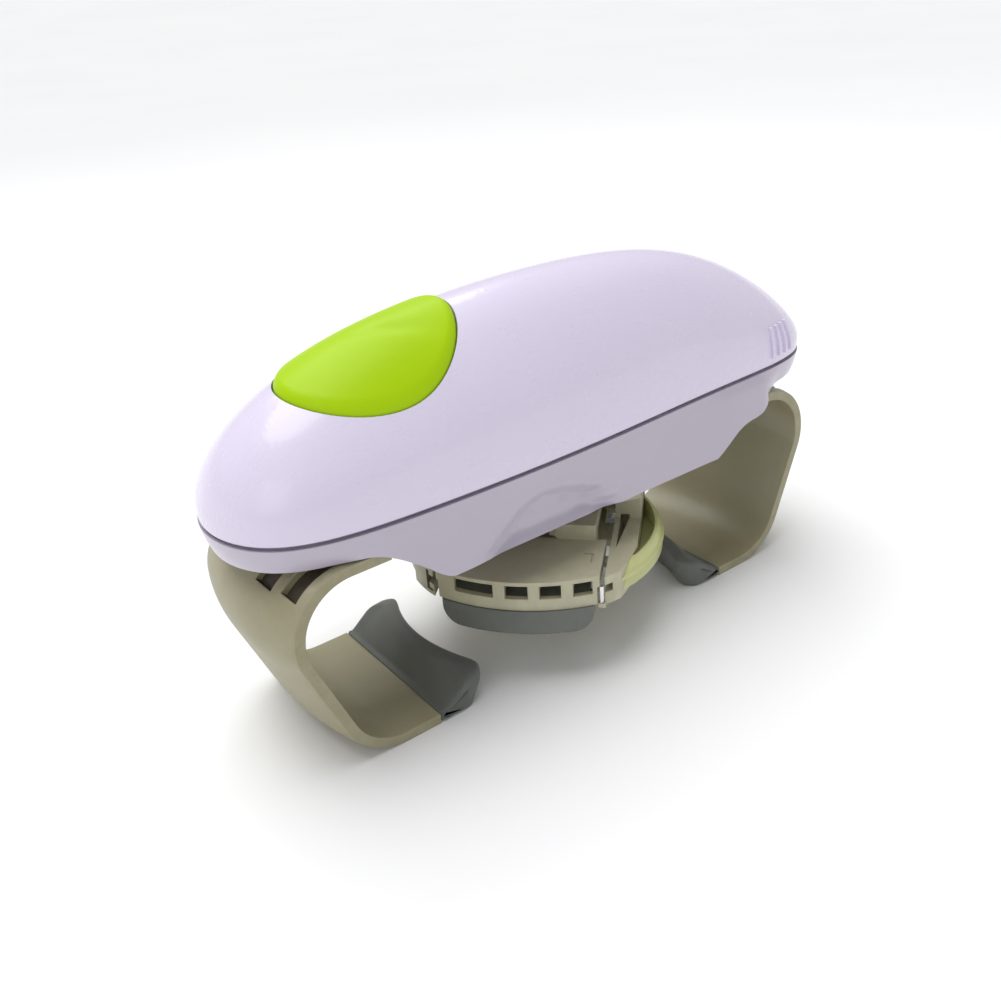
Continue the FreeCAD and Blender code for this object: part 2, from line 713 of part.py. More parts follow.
pcb = rounded_rect(-59.0, 0, 28.0, 26.0, 1.5, PCB_Z, PCB_Z + PCB_T)
for (bx, by) in PCB_POSTS:
    pcb = pcb.cut(cyl(1.05, 0, 30, bx, by))
out("circuit_board", pcb)
ZB = PCB_Z + PCB_T
parts_b = [cyl(2.6, ZB, ZB + 7.6, -61.0, -8.8), cyl(1.8, ZB, ZB + 6.0, -59.5, 8.8),
           box(-70.5, -61.0, 0.4, 5.6, ZB, ZB + 6.8),
           box(-56.6, -52.4, -11.0, -6.0, ZB, ZB + 1.8), box(-71.5, -69.8, -4.5, -1.5, ZB, ZB + 0.8)]
out("board_components", group(*parts_b))
out("board_screws", group(*[cyl(1.9, SHELF, SHELF + 1.3, x, y).fuse(cyl(0.9, 3.0, SHELF + 0.1, x, y)).removeSplitter() for x, y in PCB_POSTS]))

# ======================================================================
# Gearbox and motor
# ======================================================================
MOTOR = (-6.0, 0.0)
AX1 = (-17.6, 3.07)                 # first gear
AX2 = (-15.47, -9.95)               # second gear
OUT_Z0, OUT_Z1 = -1.0, 3.0
POSTS = [(-27.0, -16.0), (-27.0, 14.0), (15.0, -14.0), (15.0, 14.0)]
COVER_Z0, COVER_Z1 = 9.6, 11.2
base_pts = [(-30.0, -13.5), (-30.0, 16.8), (-8.5, 16.8), (-7.2, 24.6), (-0.8, 24.6), (0.5, 16.8), (17.8, 16.8), (20.4, 3.5), (20.4, -3.5),
            (17.8, -16.8), (0.5, -16.8), (-0.8, -24.6), (-7.2, -24.6), (-8.5, -18.8), (-30.0, -18.8)]
base = prism(base_pts, GB_Z0, GB_Z0 + 1.6)
for (x, y) in POSTS:
    base = base.fuse(cyl(2.2, GB_Z0, COVER_Z0, x, y))
base = base.cut(cyl(9.3, -10, 0))
for (x, y) in POSTS:
    base = base.cut(cyl(0.85, 2.0, 20, x, y))
for (x, y) in PILLARS:
    base = base.cut(cyl(1.2, -10, 0, x, y))
for (x, y) in (AX1, AX2):
    base = base.cut(cyl(PIN_R, -10, 0, x, y))
out("gearbox_base", base.removeSplitter())

cov_pts = [(-30.0, -18.8), (-30.0, 16.8), (17.8, 16.8), (17.8, -16.8), (-8.0, -18.8)]
cover = prism(cov_pts, COVER_Z0, COVER_Z1)
cover = cover.cut(cyl(SHAFT_R + RUN, 0, 20))
cover = cover.cut(cyl(3.9, 0, 20, MOTOR[0], MOTOR[1]).cut(cyl(4.1, 0, 20)))
for (x, y) in POSTS:
    cover = cover.cut(cyl(1.05, 0, 20, x, y))
for (x, y) in (AX1, AX2):
    cover = cover.cut(cyl(PIN_R, 0, 20, x, y))
MSCREWS = [(MOTOR[0] - 8.0, 0.0), (MOTOR[0], 5.6), (MOTOR[0], -5.6)]
for (x, y) in MSCREWS[1:]:
    cover = cover.cut(cyl(1.05, 0, 20, x, y))
cover = cover.removeSplitter()
cover = max(cover.Solids, key=lambda s: s.Volume)
out("gearbox_cover", cover)
out("gearbox_screws", group(*[cyl(1.9, COVER_Z1, COVER_Z1 + 1.3, x, y).fuse(cyl(0.85, 2.4, COVER_Z1 + 0.1, x, y)).removeSplitter() for x, y in POSTS]))
out("pillar_screws", group(*[cyl(1.9, GB_Z0 + 1.6, GB_Z0 + 2.8, x, y).fuse(cyl(0.95, -11.5, GB_Z0 + 1.7, x, y)).removeSplitter() for x, y in PILLARS]))
out("gear_axles", group(cyl(PIN_R, GB_Z0, COVER_Z1, *AX1), cyl(PIN_R, GB_Z0, COVER_Z1, *AX2)))


def mesh_phase(n_from, phase_from, p_from, n_to, p_to):
    """Phase that puts a gap of the second gear on the line of centres where
    the first gear has a tooth, or the reverse, as the turned angle asks."""
    a = math.degrees(math.atan2(p_to[1] - p_from[1], p_to[0] - p_from[0]))
    # tooth position of the first gear on the line of centres, in pitches
    k = (a - phase_from) / (360.0 / n_from)
    f = k - math.floor(k)
    # second gear sees the line at a+180 and turns the other way
    return (a + 180.0) + (f + 0.5) * (360.0 / n_to)


O = (0.0, 0.0)
PH_OUT = 0.0
PH_2P = mesh_phase(34, PH_OUT, O, 12, AX2)
PH_2G = PH_2P
PH_1P = mesh_phase(32, PH_2G, AX2, 12, AX1)
PH_1G = PH_1P
PH_M = mesh_phase(36, PH_1G, AX1, 12, MOTOR)

og = gear(0.8, 34, OUT_Z0, OUT_Z1, None, add=0.75, back=0.16, phase=PH_OUT)
og = og.fuse(cyl(5.0, OUT_Z1 - 0.5, 4.6)).fuse(cyl(4.9, -3.9, OUT_Z0 + 0.5))
# light web
og = og.cut(ring(6.0, 10.9, OUT_Z1 - 1.2, OUT_Z1 + 1))
for k in range(6):
    og = og.cut(cyl(1.7, -5, 5, 8.6 * math.cos(math.radians(60 * k)), 8.6 * math.sin(math.radians(60 * k))))
og = og.cut(cyl(SHAFT_R + RUN, -10, 10)).removeSplitter()
out("output_gear", og)

g2 = gear(0.8, 12, OUT_Z0, 3.9, None, add=0.75, back=0.16, phase=PH_2P, x=AX2[0], y=AX2[1])
g2b = gear(0.6, 32, 3.4, 5.4, None, add=0.75, back=0.14, phase=PH_2G, x=AX2[0], y=AX2[1])
g2 = g2.fuse(g2b).fuse(cyl(2.6, 5.0, 9.5, *AX2)).cut(cyl(PIN_R + RUN, -10, 20, *AX2)).removeSplitter()
out("second_gear", g2)
g1 = gear(0.6, 12, 3.4, 6.2, None, add=0.75, back=0.14, phase=PH_1P, x=AX1[0], y=AX1[1])
g1b = gear(0.5, 36, 5.8, 7.8, None, add=0.75, back=0.12, phase=PH_1G, x=AX1[0], y=AX1[1])
g1 = g1.fuse(g1b).fuse(cyl(2.4, GB_Z0 + 1.7, 3.5, *AX1)).fuse(cyl(2.4, 7.5, 9.5, *AX1)).cut(cyl(PIN_R + RUN, -10, 20, *AX1)).removeSplitter()
out("first_gear", g1)
mp = gear(0.5, 12, 5.75, 9.4, None, add=0.75, back=0.12, phase=PH_M, x=MOTOR[0], y=MOTOR[1]).cut(cyl(1.0, 0, 20, *MOTOR))
out("motor_pinion", mp)
# motor: a round can with two flats
CAN_Z0, CAN_Z1 = COVER_Z1, 32.6
can = cyl(10.0, CAN_Z0, CAN_Z1, *MOTOR).common(box(MOTOR[0] - 12, MOTOR[0] + 12, -7.6, 7.6, 0, 60))
try:
    can = can.makeFillet(0.8, [e for e in can.Edges if all(abs(v.Z - CAN_Z0) < 1e-6 for v in e.Vertexes)])
except Exception as ex:
    print("can edge sharp", ex)
can = can.cut(cyl(9.4, CAN_Z0 + 1.0, CAN_Z1 + 1, *MOTOR).common(box(MOTOR[0] - 12, MOTOR[0] + 12, -7.0, 7.0, 0, 60)))
can = can.cut(cyl(2.6, 0, 40, *MOTOR)).cut(cyl(0.8, 0, 14, MOTOR[0], 5.6)).cut(cyl(0.8, 0, 14, MOTOR[0], -5.6))
out("motor_can", can)
shaft = cyl(1.0, 5.6, CAN_Z1 - 0.2, *MOTOR)
rotor = cyl(1.0, 5.6, 33.2, *MOTOR).fuse(cyl(6.2, CAN_Z0 + 4.0, 27.0, *MOTOR)).fuse(cyl(2.6, 27.0, 31.0, *MOTOR))
for k in range(3):
    a = math.radians(120 * k + 60)
    bx = Part.makeBox(8, 1.4, 30, V(3.2, -0.7, CAN_Z0 + 3))
    bx.rotate(V(0, 0, 0), V(0, 0, 1), 120 * k + 60)
    bx.translate(V(MOTOR[0], MOTOR[1], 0))
    rotor = rotor.cut(bx.common(box(-60, 60, -60, 60, CAN_Z0 + 3, 27.05)))
out("motor_rotor", rotor.removeSplitter())
mag = []
for s_ in (-1, 1):
    m_ = ring(6.9, 9.2, CAN_Z0 + 3.0, 27.5, *MOTOR).common(box(MOTOR[0] - 12, MOTOR[0] + 12, -6.9, 6.9, 0, 60))
    m_ = m_.common(box(MOTOR[0] + (2.0 if s_ > 0 else -12), MOTOR[0] + (12 if s_ > 0 else -2.0), -8, 8, 0, 60))
    mag.append(max(m_.Solids, key=lambda s: s.Volume))
out("motor_magnets", group(*mag))
bush = ring(1.0 + 0.03, 2.6, CAN_Z0, CAN_Z0 + 2.2, *MOTOR)
out("motor_bush", bush)
endcap = cyl(9.4, 31.4, CAN_Z1, *MOTOR).common(box(MOTOR[0] - 12, MOTOR[0] + 12, -7.0, 7.0, 0, 60))
endcap = endcap.fuse(cyl(10.0, CAN_Z1, 34.2, *MOTOR).common(box(MOTOR[0] - 12, MOTOR[0] + 12, -7.6, 7.6, 0, 60)))
endcap = endcap.cut(cyl(1.05, 0, 33.4, *MOTOR)).removeSplitter()
for s_ in (-1, 1):
    endcap = endcap.cut(box(MOTOR[0] - 1.1, MOTOR[0] + 1.1, s_ * 5.0 - 0.3, s_ * 5.0 + 0.3, 30, 40))
out("motor_end_cap", endcap.removeSplitter())
out("motor_terminals", group(*[box(MOTOR[0] - 1.1, MOTOR[0] + 1.1, s_ * 5.0 - 0.3, s_ * 5.0 + 0.3, 31.6, 35.6) for s_ in (-1, 1)]))
out("motor_screws", group(*[cyl(1.6, COVER_Z0 - 1.1, COVER_Z0, x, y).fuse(cyl(0.8, COVER_Z0 - 0.1, CAN_Z0 + 0.9, x, y)).removeSplitter() for x, y in MSCREWS[1:]]))

# ======================================================================
# Clutch, outer pinion and outer arms
# ======================================================================
OP_Z0, OP_Z1 = -11.6, -7.25
SLEEVE_R = 6.0
op = gear(1.0, 20, OP_Z0, OP_Z1, SLEEVE_R + RUN, add=0.8, back=0.16, phase=0.0)
out("outer_pinion", op)
out("clutch_plate", ring(SLEEVE_R + 0.25, 9.0, OP_Z1, OP_Z1 + 1.2))
out("clutch_spring", coil(7.6, 0.5, OP_Z1 + 1.25, OUT_Z0 - 0.02, 3))

RAD = math.radians
th_ = RAD(ARM_LEAN)


FLAT = 0.03             # taken off again, so that top plate and floor end in true flats


def arm_points(y, off_in=0.0, off_out=0.0):
    """Section of the strap at station y (points and arc middles)."""
    xc = ARM_XC - ARM_BULGE * (1 - (y / ARM_W) ** 2)
    t = ARM_T + FLAT
    c1 = (xc + ARM_R1 * math.tan(th_) + ARM_R1 / math.cos(th_), ARM_Z1 - ARM_R1)
    zc2 = ARM_Z2 + ARM_R2
    c2 = (xc + (ARM_Z1 - zc2) * math.tan(th_) + ARM_R2 / math.cos(th_), zc2)
    nl = (-math.cos(th_), -math.sin(th_))
    m1 = RAD((90 + 180 + ARM_LEAN) / 2.0)
    m2 = RAD((180 + ARM_LEAN + 270) / 2.0)

    def arc3(c, r, a0, am, a1):
        return [(c[0] + r * math.cos(a), c[1] + r * math.sin(a)) for a in (a0, am, a1)]
    A0, A1, A2 = RAD(90), RAD(180 + ARM_LEAN), RAD(270)
    return dict(c1=c1, c2=c2,
                oi1=arc3(c1, ARM_R1 - off_in, A0, m1, A1), oo1=arc3(c1, ARM_R1 + t + off_out, A0, m1, A1),
                oi2=arc3(c2, ARM_R2 - off_in, A1, m2, A2), oo2=arc3(c2, ARM_R2 + t + off_out, A1, m2, A2))


ARM_X_FULL = -62.0      # full-width plate ends here
ARM_X_TIP = 20.5        # end of the rack bar


def strap_wire(y):
    p = arm_points(y)

    def v(q):
        return V(q[0], y, q[1])

    def line(a, b):
        return Part.LineSegment(v(a), v(b)).toShape()

    def arc(q):
        return Part.Arc(v(q[0]), v(q[1]), v(q[2])).toShape()
    zt, zu = ARM_Z1 + ARM_T + FLAT, ARM_Z1
    zb, zf = ARM_Z2 - ARM_T - FLAT, ARM_Z2
    a = (ARM_X_FULL, zt)
    b = (ARM_X_FULL, zu)
    e = (PAD_X, zb)
    f = (PAD_X, zf)
    es = [line(a, p['oo1'][0]), arc(p['oo1']), line(p['oo1'][2], p['oo2'][0]), arc(p['oo2']), line(p['oo2'][2], e),
          line(e, f), line(f, p['oi2'][2]), arc(p['oi2'][::-1]), line(p['oi2'][0], p['oi1'][2]), arc(p['oi1'][::-1]),
          line(p['oi1'][0], b), line(b, a)]
    return Part.Wire(es)


ys = [-ARM_W, -17.0, -8.5, 0.0, 8.5, 17.0, ARM_W]
strap = Part.makeLoft([strap_wire(y) for y in ys], True, False)
if strap.Volume < 0:
    strap.reverse()
strap = strap.cut(box(-130, 130, -60, 60, -70, ARM_Z2 - ARM_T)).cut(box(-130, 0, -60, 60, ARM_Z1 + ARM_T, 10))
strap = max(strap.Solids, key=lambda s: s.Volume)
# shallow recesses in the shoulder
for (y0, y1) in ((-22.2, -16.4), (-13.2, -6.2), (6.2, 13.2), (16.4, 22.2)):
    ym = (y0 + y1) / 2
    p = arm_points(ym)
    c = p['c1']
    r0 = ARM_R1 + ARM_T - 1.6
    a0, a1 = RAD(90), RAD(137)
    q = [V(c[0] + r0 * math.cos(a), y0, c[1] + r0 * math.sin(a)) for a in (a0, (a0 + a1) / 2, a1)]
    o = V(c[0] + (r0 + 6) * math.cos(a1), y0, c[1] + (r0 + 6) * math.sin(a1))
    es = [Part.LineSegment(V(-66.0, y0, c[1] + r0), q[0]).toShape(), Part.Arc(q[0], q[1], q[2]).toShape(),
          Part.LineSegment(q[2], o).toShape(), Part.LineSegment(o, V(o.x, y0, 3)).toShape(),
          Part.LineSegment(V(o.x, y0, 3), V(-66.0, y0, 3)).toShape(), Part.LineSegment(V(-66.0, y0, 3), V(-66.0, y0, c[1] + r0)).toShape()]
    t_ = Part.Face(Part.Wire(es)).extrude(V(0, y1 - y0, 0))
    strap = strap.cut(t_)

# rack bar on the +y side of the pinion
prof = rack_profile(1.0, -27.0, 20.0, back=0.16)
xa, xb = prof[0][0], prof[-1][0]
pts = [(ARM_X_FULL - 1.0, RACK_Y + 1.2)] + [(x, RACK_Y + y) for x, y in prof] + [(ARM_X_TIP, RACK_Y + 1.2), (ARM_X_TIP, 18.0), (ARM_X_FULL - 1.0, 18.0)]
bar = prism(pts, ARM_Z1, ARM_Z1 + ARM_T - 0.35)
gus = prism([(ARM_X_FULL - 0.5, 4.0), (ARM_X_FULL - 0.5, 18.0), (ARM_X_FULL + 9.0, 18.0), (ARM_X_FULL + 9.0, 11.2)], ARM_Z1, ARM_Z1 + ARM_T - 0.35)
left_arm = strap.fuse(bar).fuse(gus).removeSplitter()
# tongue that holds the rubber pad
tongue = box(PAD_X - 0.5, PAD_X + 6.0, -19.0, 19.0, ARM_Z2 - 2.1, ARM_Z2 - 0.7)
left_arm = left_arm.fuse(tongue).removeSplitter()
left_arm = max(left_arm.Solids, key=lambda s: s.Volume)

# rubber pad: back slope, crest that dips toward the middle, hollow gripping face
PAD_TOP = -53.0
PAD_F0 = -43.2          # crest in the middle
PAD_DIP = 5.8           # horns reach this much further in
NPY = 15


def pad_section(y):
    k = y / 25.4
    xf = PAD_F0 + PAD_DIP * min(1.0, (abs(y) / 21.5)) ** 2
    # rounded ends
    e = max(0.0, (abs(y) - 19.5) / 6.0)
    shrink = 4.6 * (1 - math.sqrt(max(0.0, 1 - min(1.0, e) ** 2)))
    xf -= shrink
    zt = PAD_TOP - 1.0 * k * k - 0.55 * shrink
    zb = ARM_Z2 - ARM_T
    zf = ARM_Z2
    xb_ = PAD_X
    return [(xb_, zb), (xb_, zf), (xb_ + 1.2, zf + 0.15), (xf - 4.2, zt - 1.1), (xf - 1.6, zt), (xf, zt - 0.9),
            (xf - 0.2, zt - 3.2), (xf - 1.4, zb + 3.4), (xf - 2.4, zb + 0.6), (xf - 3.4, zb)]


def pad_wire(y):
    p = pad_section(y)
    v = [V(a, y, b) for a, b in p]
    es = [Part.LineSegment(v[0], v[1]).toShape()]
    c = Part.BSplineCurve()
    c.interpolate(v[1:4])
    es = [Part.LineSegment(v[0], v[1]).toShape(), Part.LineSegment(v[1], v[2]).toShape(), Part.LineSegment(v[2], v[3]).toShape()]
    c = Part.BSplineCurve()
    c.interpolate(v[3:9])
    es.append(c.toShape())
    es.append(Part.LineSegment(v[8], v[9]).toShape())
    es.append(Part.LineSegment(v[9], v[0]).toShape())
    return Part.Wire(es)


pys = [-25.4, -24.6, -23.2, -21.0, -17.0, -11.5, -6.0, 0.0, 6.0, 11.5, 17.0, 21.0, 23.2, 24.6, 25.4]
pad = Part.makeLoft([pad_wire(y) for y in pys], True, False)
if pad.Volume < 0:
    pad.reverse()
pad = pad.cut(tongue)
pad = max(pad.Solids, key=lambda s: s.Volume)

out("left_arm", left_arm)
out("left_arm_pad", pad)
out("right_arm", spun(left_arm, 180))
out("right_arm_pad", spun(pad, 180))

# ======================================================================
# Turntable: bush, hub, guide frame, drum segments, inner jaws
# ======================================================================
bush2 = ring(SLEEVE_R + RUN, 9.0, SKIRT_Z - 0.9, -13.0).fuse(ring(SLEEVE_R + RUN, 11.0, SKIRT_Z - 1.6, SKIRT_Z - 0.02))
out("turntable_bush", bush2.removeSplitter())
HUB_Z = -21.6
hub = ring(SHAFT_R + RUN, SLEEVE_R, -26.0, -4.2).fuse(ring(SHAFT_R + RUN, 12.0, HUB_Z - 2.0, HUB_Z))
hub = hub.fuse(ring(SHAFT_R + RUN, 8.6, HUB_Z - 0.2, -21.35))
hub = hub.removeSplitter()
# retaining ring groove above the outer pinion
hub = hub.cut(ring(SLEEVE_R - 0.6, 8, -5.4, -4.8))
HS = [(9.3, 0), (-9.3, 0), (0, 9.3), (0, -9.3)]
for (x, y) in HS:
    hub = hub.cut(cyl(1.05, -30, -20, x, y)).cut(cyl(2.05, HUB_Z - 1.25, -20, x, y))
out("turntable_hub", hub)
out("hub_ring", ring(SLEEVE_R - 0.6, 6.9, -5.38, -4.82).cut(box(1.0, 9, -2.0, 2.0, -9, 0)))

# local frame of the turntable: s along the jaws' slide, n across it
def loc(shape):
    return spun(shape, TT_PSI)


def arc_prism(r, z0, z1, n0, n1, s0, s1):
    return cyl(r, z0, z1).common(box(s0, s1, n0, n1, z0 - 1, z1 + 1))


FR_TOP = HUB_Z - 2.0
FR_BOT = FR_TOP - 3.0
BEAM_BOT = -42.2
BEAM_R = 38.2
TAPER = [(13.0, 31.2), (22.0, 29.2), (26.0, 27.8), (31.0, 26.6), (40.0, 26.6)]     # outer end of a beam
PIN_S, PIN_N, STEEL_R = 30.5, 22.85, 0.7     # steel guide pin
frame = prism([(-13.5, 31.0), (-3.0, 31.0), (9.5, 9.5), (13.5, -31.0), (3.0, -31.0), (-9.5, -9.5)], FR_BOT, FR_TOP).common(cyl(37.2, -60, 0))
frame = frame.fuse(cyl(13.0, FR_BOT, FR_TOP))
for sg in (1, -1):
    n0, n1 = (BEAM_IN, BEAM_OUT) if sg > 0 else (-BEAM_OUT, -BEAM_IN)
    beam = arc_prism(BEAM_R, BEAM_BOT, TT_TOP, n0, n1, -50, 50)
    beam = beam.cut(spun(prism(TAPER + [(40.0, 45.0), (13.0, 45.0)], BEAM_BOT - 1, TT_TOP + 1), 0 if sg > 0 else 180))
    beam = beam.fuse(spun(box(28.8, 31.4, 22.0, 24.0, BEAM_BOT, BEAM_BOT + 1.2), 0 if sg > 0 else 180))
    s0, s1 = (-13.0, -3.5) if sg > 0 else (3.5, 13.0)
    col = box(s0, s1, n0, n1, TT_TOP - 1.0, FR_TOP).common(cyl(36.8, -60, 0))
    frame = frame.fuse(beam).fuse(col)
# hub seat and screw holes
frame = frame.cut(cyl(SLEEVE_R, -30, 0))
for (x, y) in HS:
    a = math.radians(-TT_PSI)
    frame = frame.cut(cyl(0.85, -30, -20, x * math.cos(a) - y * math.sin(a), x * math.sin(a) + y * math.cos(a)))
# guide slots for the jaws' side tongues, open at both ends
for sg in (1, -1):
    n0, n1 = (BEAM_IN - 1, BEAM_IN + 2.0) if sg > 0 else (-BEAM_IN - 2.0, -BEAM_IN + 1)
    frame = frame.cut(box(-50, 50, n0, n1, -38.4, -36.0))
# wedge-shaped windows in the beam tops and the L-shaped slots at the ends
for sg in (1, -1):
    w = prism([(sg * 14.0, sg * 25.4), (sg * -9.0, sg * 25.2), (sg * -9.0, sg * 28.6)], -39.0, TT_TOP + 1.0)
    frame = frame.cut(w)
for s_ in (1, -1):
    def fb(a, b, c, d, e, f):
        q = box(a, b, c, d, e, f)
        return spun(q, 0 if s_ > 0 else 180)
    frame = frame.cut(fb(24.0, 45.0, -26.3, -25.3, -40.6, -34.6))
    frame = frame.cut(fb(24.0, 45.0, -26.3, -24.0, -41.0, -40.1))
    frame = frame.cut(spun(cyl(STEEL_R, -45, -38, PIN_S, PIN_N), 0 if s_ > 0 else 180))
frame = frame.removeSplitter()
frame = max(frame.Solids, key=lambda s: s.Volume)
out("turntable_frame", loc(frame))
out("hub_screws", group(*[cyl(1.9, HUB_Z - 1.25, HUB_Z - 0.05, x, y).fuse(cyl(0.85, FR_BOT + 0.3, HUB_Z - 1.2, x, y)).removeSplitter() for x, y in HS]))

# lime drum segments: top edge sloped, one raised ring, open pocket
prof_ = [(30.0, -41.0), (37.0, -41.0), (37.6, -40.4), (37.1, -37.6), (38.0, -37.1), (38.0, -36.3), (37.2, -35.9), (36.4, -33.9), (36.0, -33.5), (30.0, -33.5)]
w = Part.makePolygon([V(r, 0, z) for r, z in prof_] + [V(prof_[0][0], 0, prof_[0][1])])
drum = Part.Face(w).revolve(V(0, 0, 0), V(0, 0, 1), 360)
drum = drum.fuse(cyl(30.2, -41.0, -33.5))
segs = []
zone = prism([(s_, n_ + 0.05) for s_, n_ in TAPER] + [(40.0, 60.0), (-40.0, 60.0), (-40.0, BEAM_OUT + 0.05)], -60, 0)
for sg in (1, -1):
    s_ = drum.common(spun(zone, 0 if sg > 0 else 180))
    # pocket: open at the top and toward the beam, behind the sloped rim
    pk = cyl(35.4, -39.4, -30).common(box(-17.5, 17.5, BEAM_OUT - 1.0, 60, -60, 0))
    s_ = s_.cut(spun(pk, 0 if sg > 0 else 180))
    segs.append(max(s_.Solids, key=lambda q: q.Volume))
out("drum_segment_front", loc(segs[0]))
out("drum_segment_back", loc(segs[1]))

# base plate under the jaws, with the lower bearing of the shaft
bp = arc_prism(30.0, -38.9, -36.3, -20.4, 20.4, -15.0, 15.0)
bp = bp.cut(cyl(SHAFT_R + RUN, -60, 0)).fuse(ring(SHAFT_R + RUN, 5.2, -40.3, -38.8)).cut(cyl(SHAFT_R + RUN, -60, 0))
bp = bp.fuse(box(-5, 5, 20.0, BEAM_IN + 1.9, -38.35, -36.35)).fuse(box(-5, 5, -BEAM_IN - 1.9, -20.0, -38.35, -36.35))
out("turntable_base", loc(bp.removeSplitter()))


# inner jaws
def jaw_parts():
    def arc_block(r, z0, z1, half, s0):
        return cyl(r, z0, z1, JAW_C, 0).common(box(s0, 60, -half, half, z0 - 1, z1 + 1))
    pl_ = arc_block(JAW_R, -35.6, JAW_TOP, JAW_HALF, 12.0)
    rim_ = arc_block(JAW_R, TT_BOT, JAW_TOP, RIM_HALF, 20.0).cut(cyl(JAW_R - RIM_T, TT_BOT - 1, JAW_TOP + 1, JAW_C, 0))
    j = pl_.fuse(rim_)
    # side ribs, and tongues in the guide slots
    for sg in (1, -1):
        rib = box(14.0, 30.6, RIM_HALF - 1.2, RIM_HALF, -38.1, -33.5).fuse(box(14.0, 17.5, RIM_HALF - 1.2, BEAM_IN + 1.6, -38.1, -36.3))
        j = j.fuse(rib if sg > 0 else rib.mirror(V(0, 0, 0), V(0, 1, 0)))
    # windows in the rim, running back into the plate
    for (n0, n1) in ((-16.7, -5.6), (-2.35, 3.9), (6.95, 12.65), (15.75, 20.7)):
        j = j.cut(box(20.0, 60, n0, n1, -37.4, -33.4).cut(cyl(JAW_R - 7.0, -60, 0, JAW_C, 0)))
    # rack carrier above the plate
    pr = rack_profile(1.0, -18.5, 14.5, back=0.16)
    ptsr = [(x, IN_PITCH + y) for x, y in pr]
    carr = prism([(pr[0][0] - 0.5, IN_PITCH + 1.2)] + ptsr + [(pr[-1][0] + 0.5, IN_PITCH + 1.2), (pr[-1][0] + 0.5, 19.6), (pr[0][0] - 0.5, 19.6)], JAW_TOP + 0.3, -27.6)
    foot = box(6.0, pr[-1][0] + 0.5, IN_PITCH + 1.6, 19.6, -35.6, JAW_TOP + 0.4)
    j = j.fuse(carr).fuse(foot)
    # small corner mark in the plate
    j = j.cut(box(19.8, 24.6, 19.3, 19.9, JAW_TOP - 0.6, JAW_TOP + 1)).cut(box(19.8, 20.4, 17.0, 19.9, JAW_TOP - 0.6, JAW_TOP + 1))
    j = j.removeSplitter()
    # rubber pad
    p_ = arc_block(JAW_R + 0.5, JPAD_BOT, TT_BOT - 0.02, 21.0, 10.0).cut(cyl(31.0, -60, 0))
    # flat shelf behind the rim, under its windows
    up_ = arc_block(JAW_R - RIM_T - 0.05, TT_BOT - 0.5, -38.0, 19.4, 24.0)
    p_ = p_.fuse(up_).removeSplitter()
    ed = []
    for e in p_.Edges:
        bb = e.BoundBox
        if 5 < bb.XLength < 12 and bb.ZLength < 1e-3 and abs(bb.ZMin - JPAD_BOT) < 1e-3 and bb.YLength < 1e-3:
            ed.append(e)
    try:
        p_ = p_.makeFillet(5.5, ed)
    except Exception as ex:
        print("jaw pad corner sharp", ex)
    try:
        ed = [e for e in p_.Edges if abs(e.BoundBox.ZMin - JPAD_BOT) < 1e-3 and abs(e.BoundBox.ZMax - JPAD_BOT) < 1e-3 and e.Length > 12]
        p_ = p_.makeFillet(0.9, ed)
    except Exception as ex:
        print("jaw pad lower edge sharp", ex)
    return max(j.Solids, key=lambda s: s.Volume), max(p_.Solids, key=lambda s: s.Volume)


jaw, jpad = jaw_parts()
out("front_jaw", loc(jaw))
out("front_jaw_pad", loc(jpad))
out("back_jaw", loc(spun(jaw, 180)))
out("back_jaw_pad", loc(spun(jpad, 180)))

# steel guide pins at the beams' ends
pins = [cyl(STEEL_R, BEAM_BOT + 0.1, -35.8, PIN_S, PIN_N), cyl(STEEL_R, BEAM_BOT + 0.1, -35.8, -PIN_S, -PIN_N)]
out("guide_pins", group(*[loc(p) for p in pins]))

ip = gear(1.0, 14, -31.6, -27.0, None, add=0.8, back=0.16, phase=TT_PSI + 90).cut(cyl(SHAFT_R, -60, 0))
out("inner_pinion", ip)
ds = cyl(SHAFT_R, -41.4, 10.6)
ds = ds.cut(ring(SHAFT_R - 0.5, 5, -41.0, -40.4))
out("drive_shaft", ds)
clip = ring(SHAFT_R - 0.5, 4.3, -40.98, -40.42).cut(box(0.6, 9, -1.4, 1.4, -60, 0))
out("shaft_clip", clip)

# ======================================================================
# Batteries, holder, contacts
# ======================================================================
CELL_R, CELL_L = 7.1, 49.2
CELL_X0 = 32.6
CELL_Z = 9.2
hold = box(29.6, 86.0, -15.9, 16.0, 0.2, 1.4)
hold = hold.fuse(box(29.6, 31.0, -15.9, 16.0, 0.2, 15.0)).fuse(box(84.6, 86.0, -15.9, 16.0, 0.2, 12.5))
hold = hold.fuse(box(29.6, 86.0, -15.9, -14.9, 0.2, 7.5))
hold = hold.fuse(box(29.6, 86.0, -0.35, 0.35, 0.2, 4.0))
hold = hold.common(dome(WALL + 0.4, 0, 0.0)).removeSplitter()
hold = max(hold.Solids, key=lambda s: s.Volume)
out("battery_holder", hold)
cells = []
for y in (-7.5, 7.5):
    c = Part.makeCylinder(CELL_R, CELL_L, V(CELL_X0, y, CELL_Z), V(1, 0, 0))
    c = c.makeFillet(0.6, [e for e in c.Edges if abs(e.Length - 2 * math.pi * CELL_R) < 0.5])
    tipx = CELL_X0 + CELL_L if y < 0 else CELL_X0
    n = Part.makeCylinder(2.7, 1.2, V(CELL_X0 + CELL_L, y, CELL_Z), V(1, 0, 0)) if y < 0 else Part.makeCylinder(2.7, 1.2, V(CELL_X0 - 1.2, y, CELL_Z), V(1, 0, 0))
    cells.append(c.fuse(n).removeSplitter())
out("battery_inner", cells[0])
out("battery_outer", cells[1])
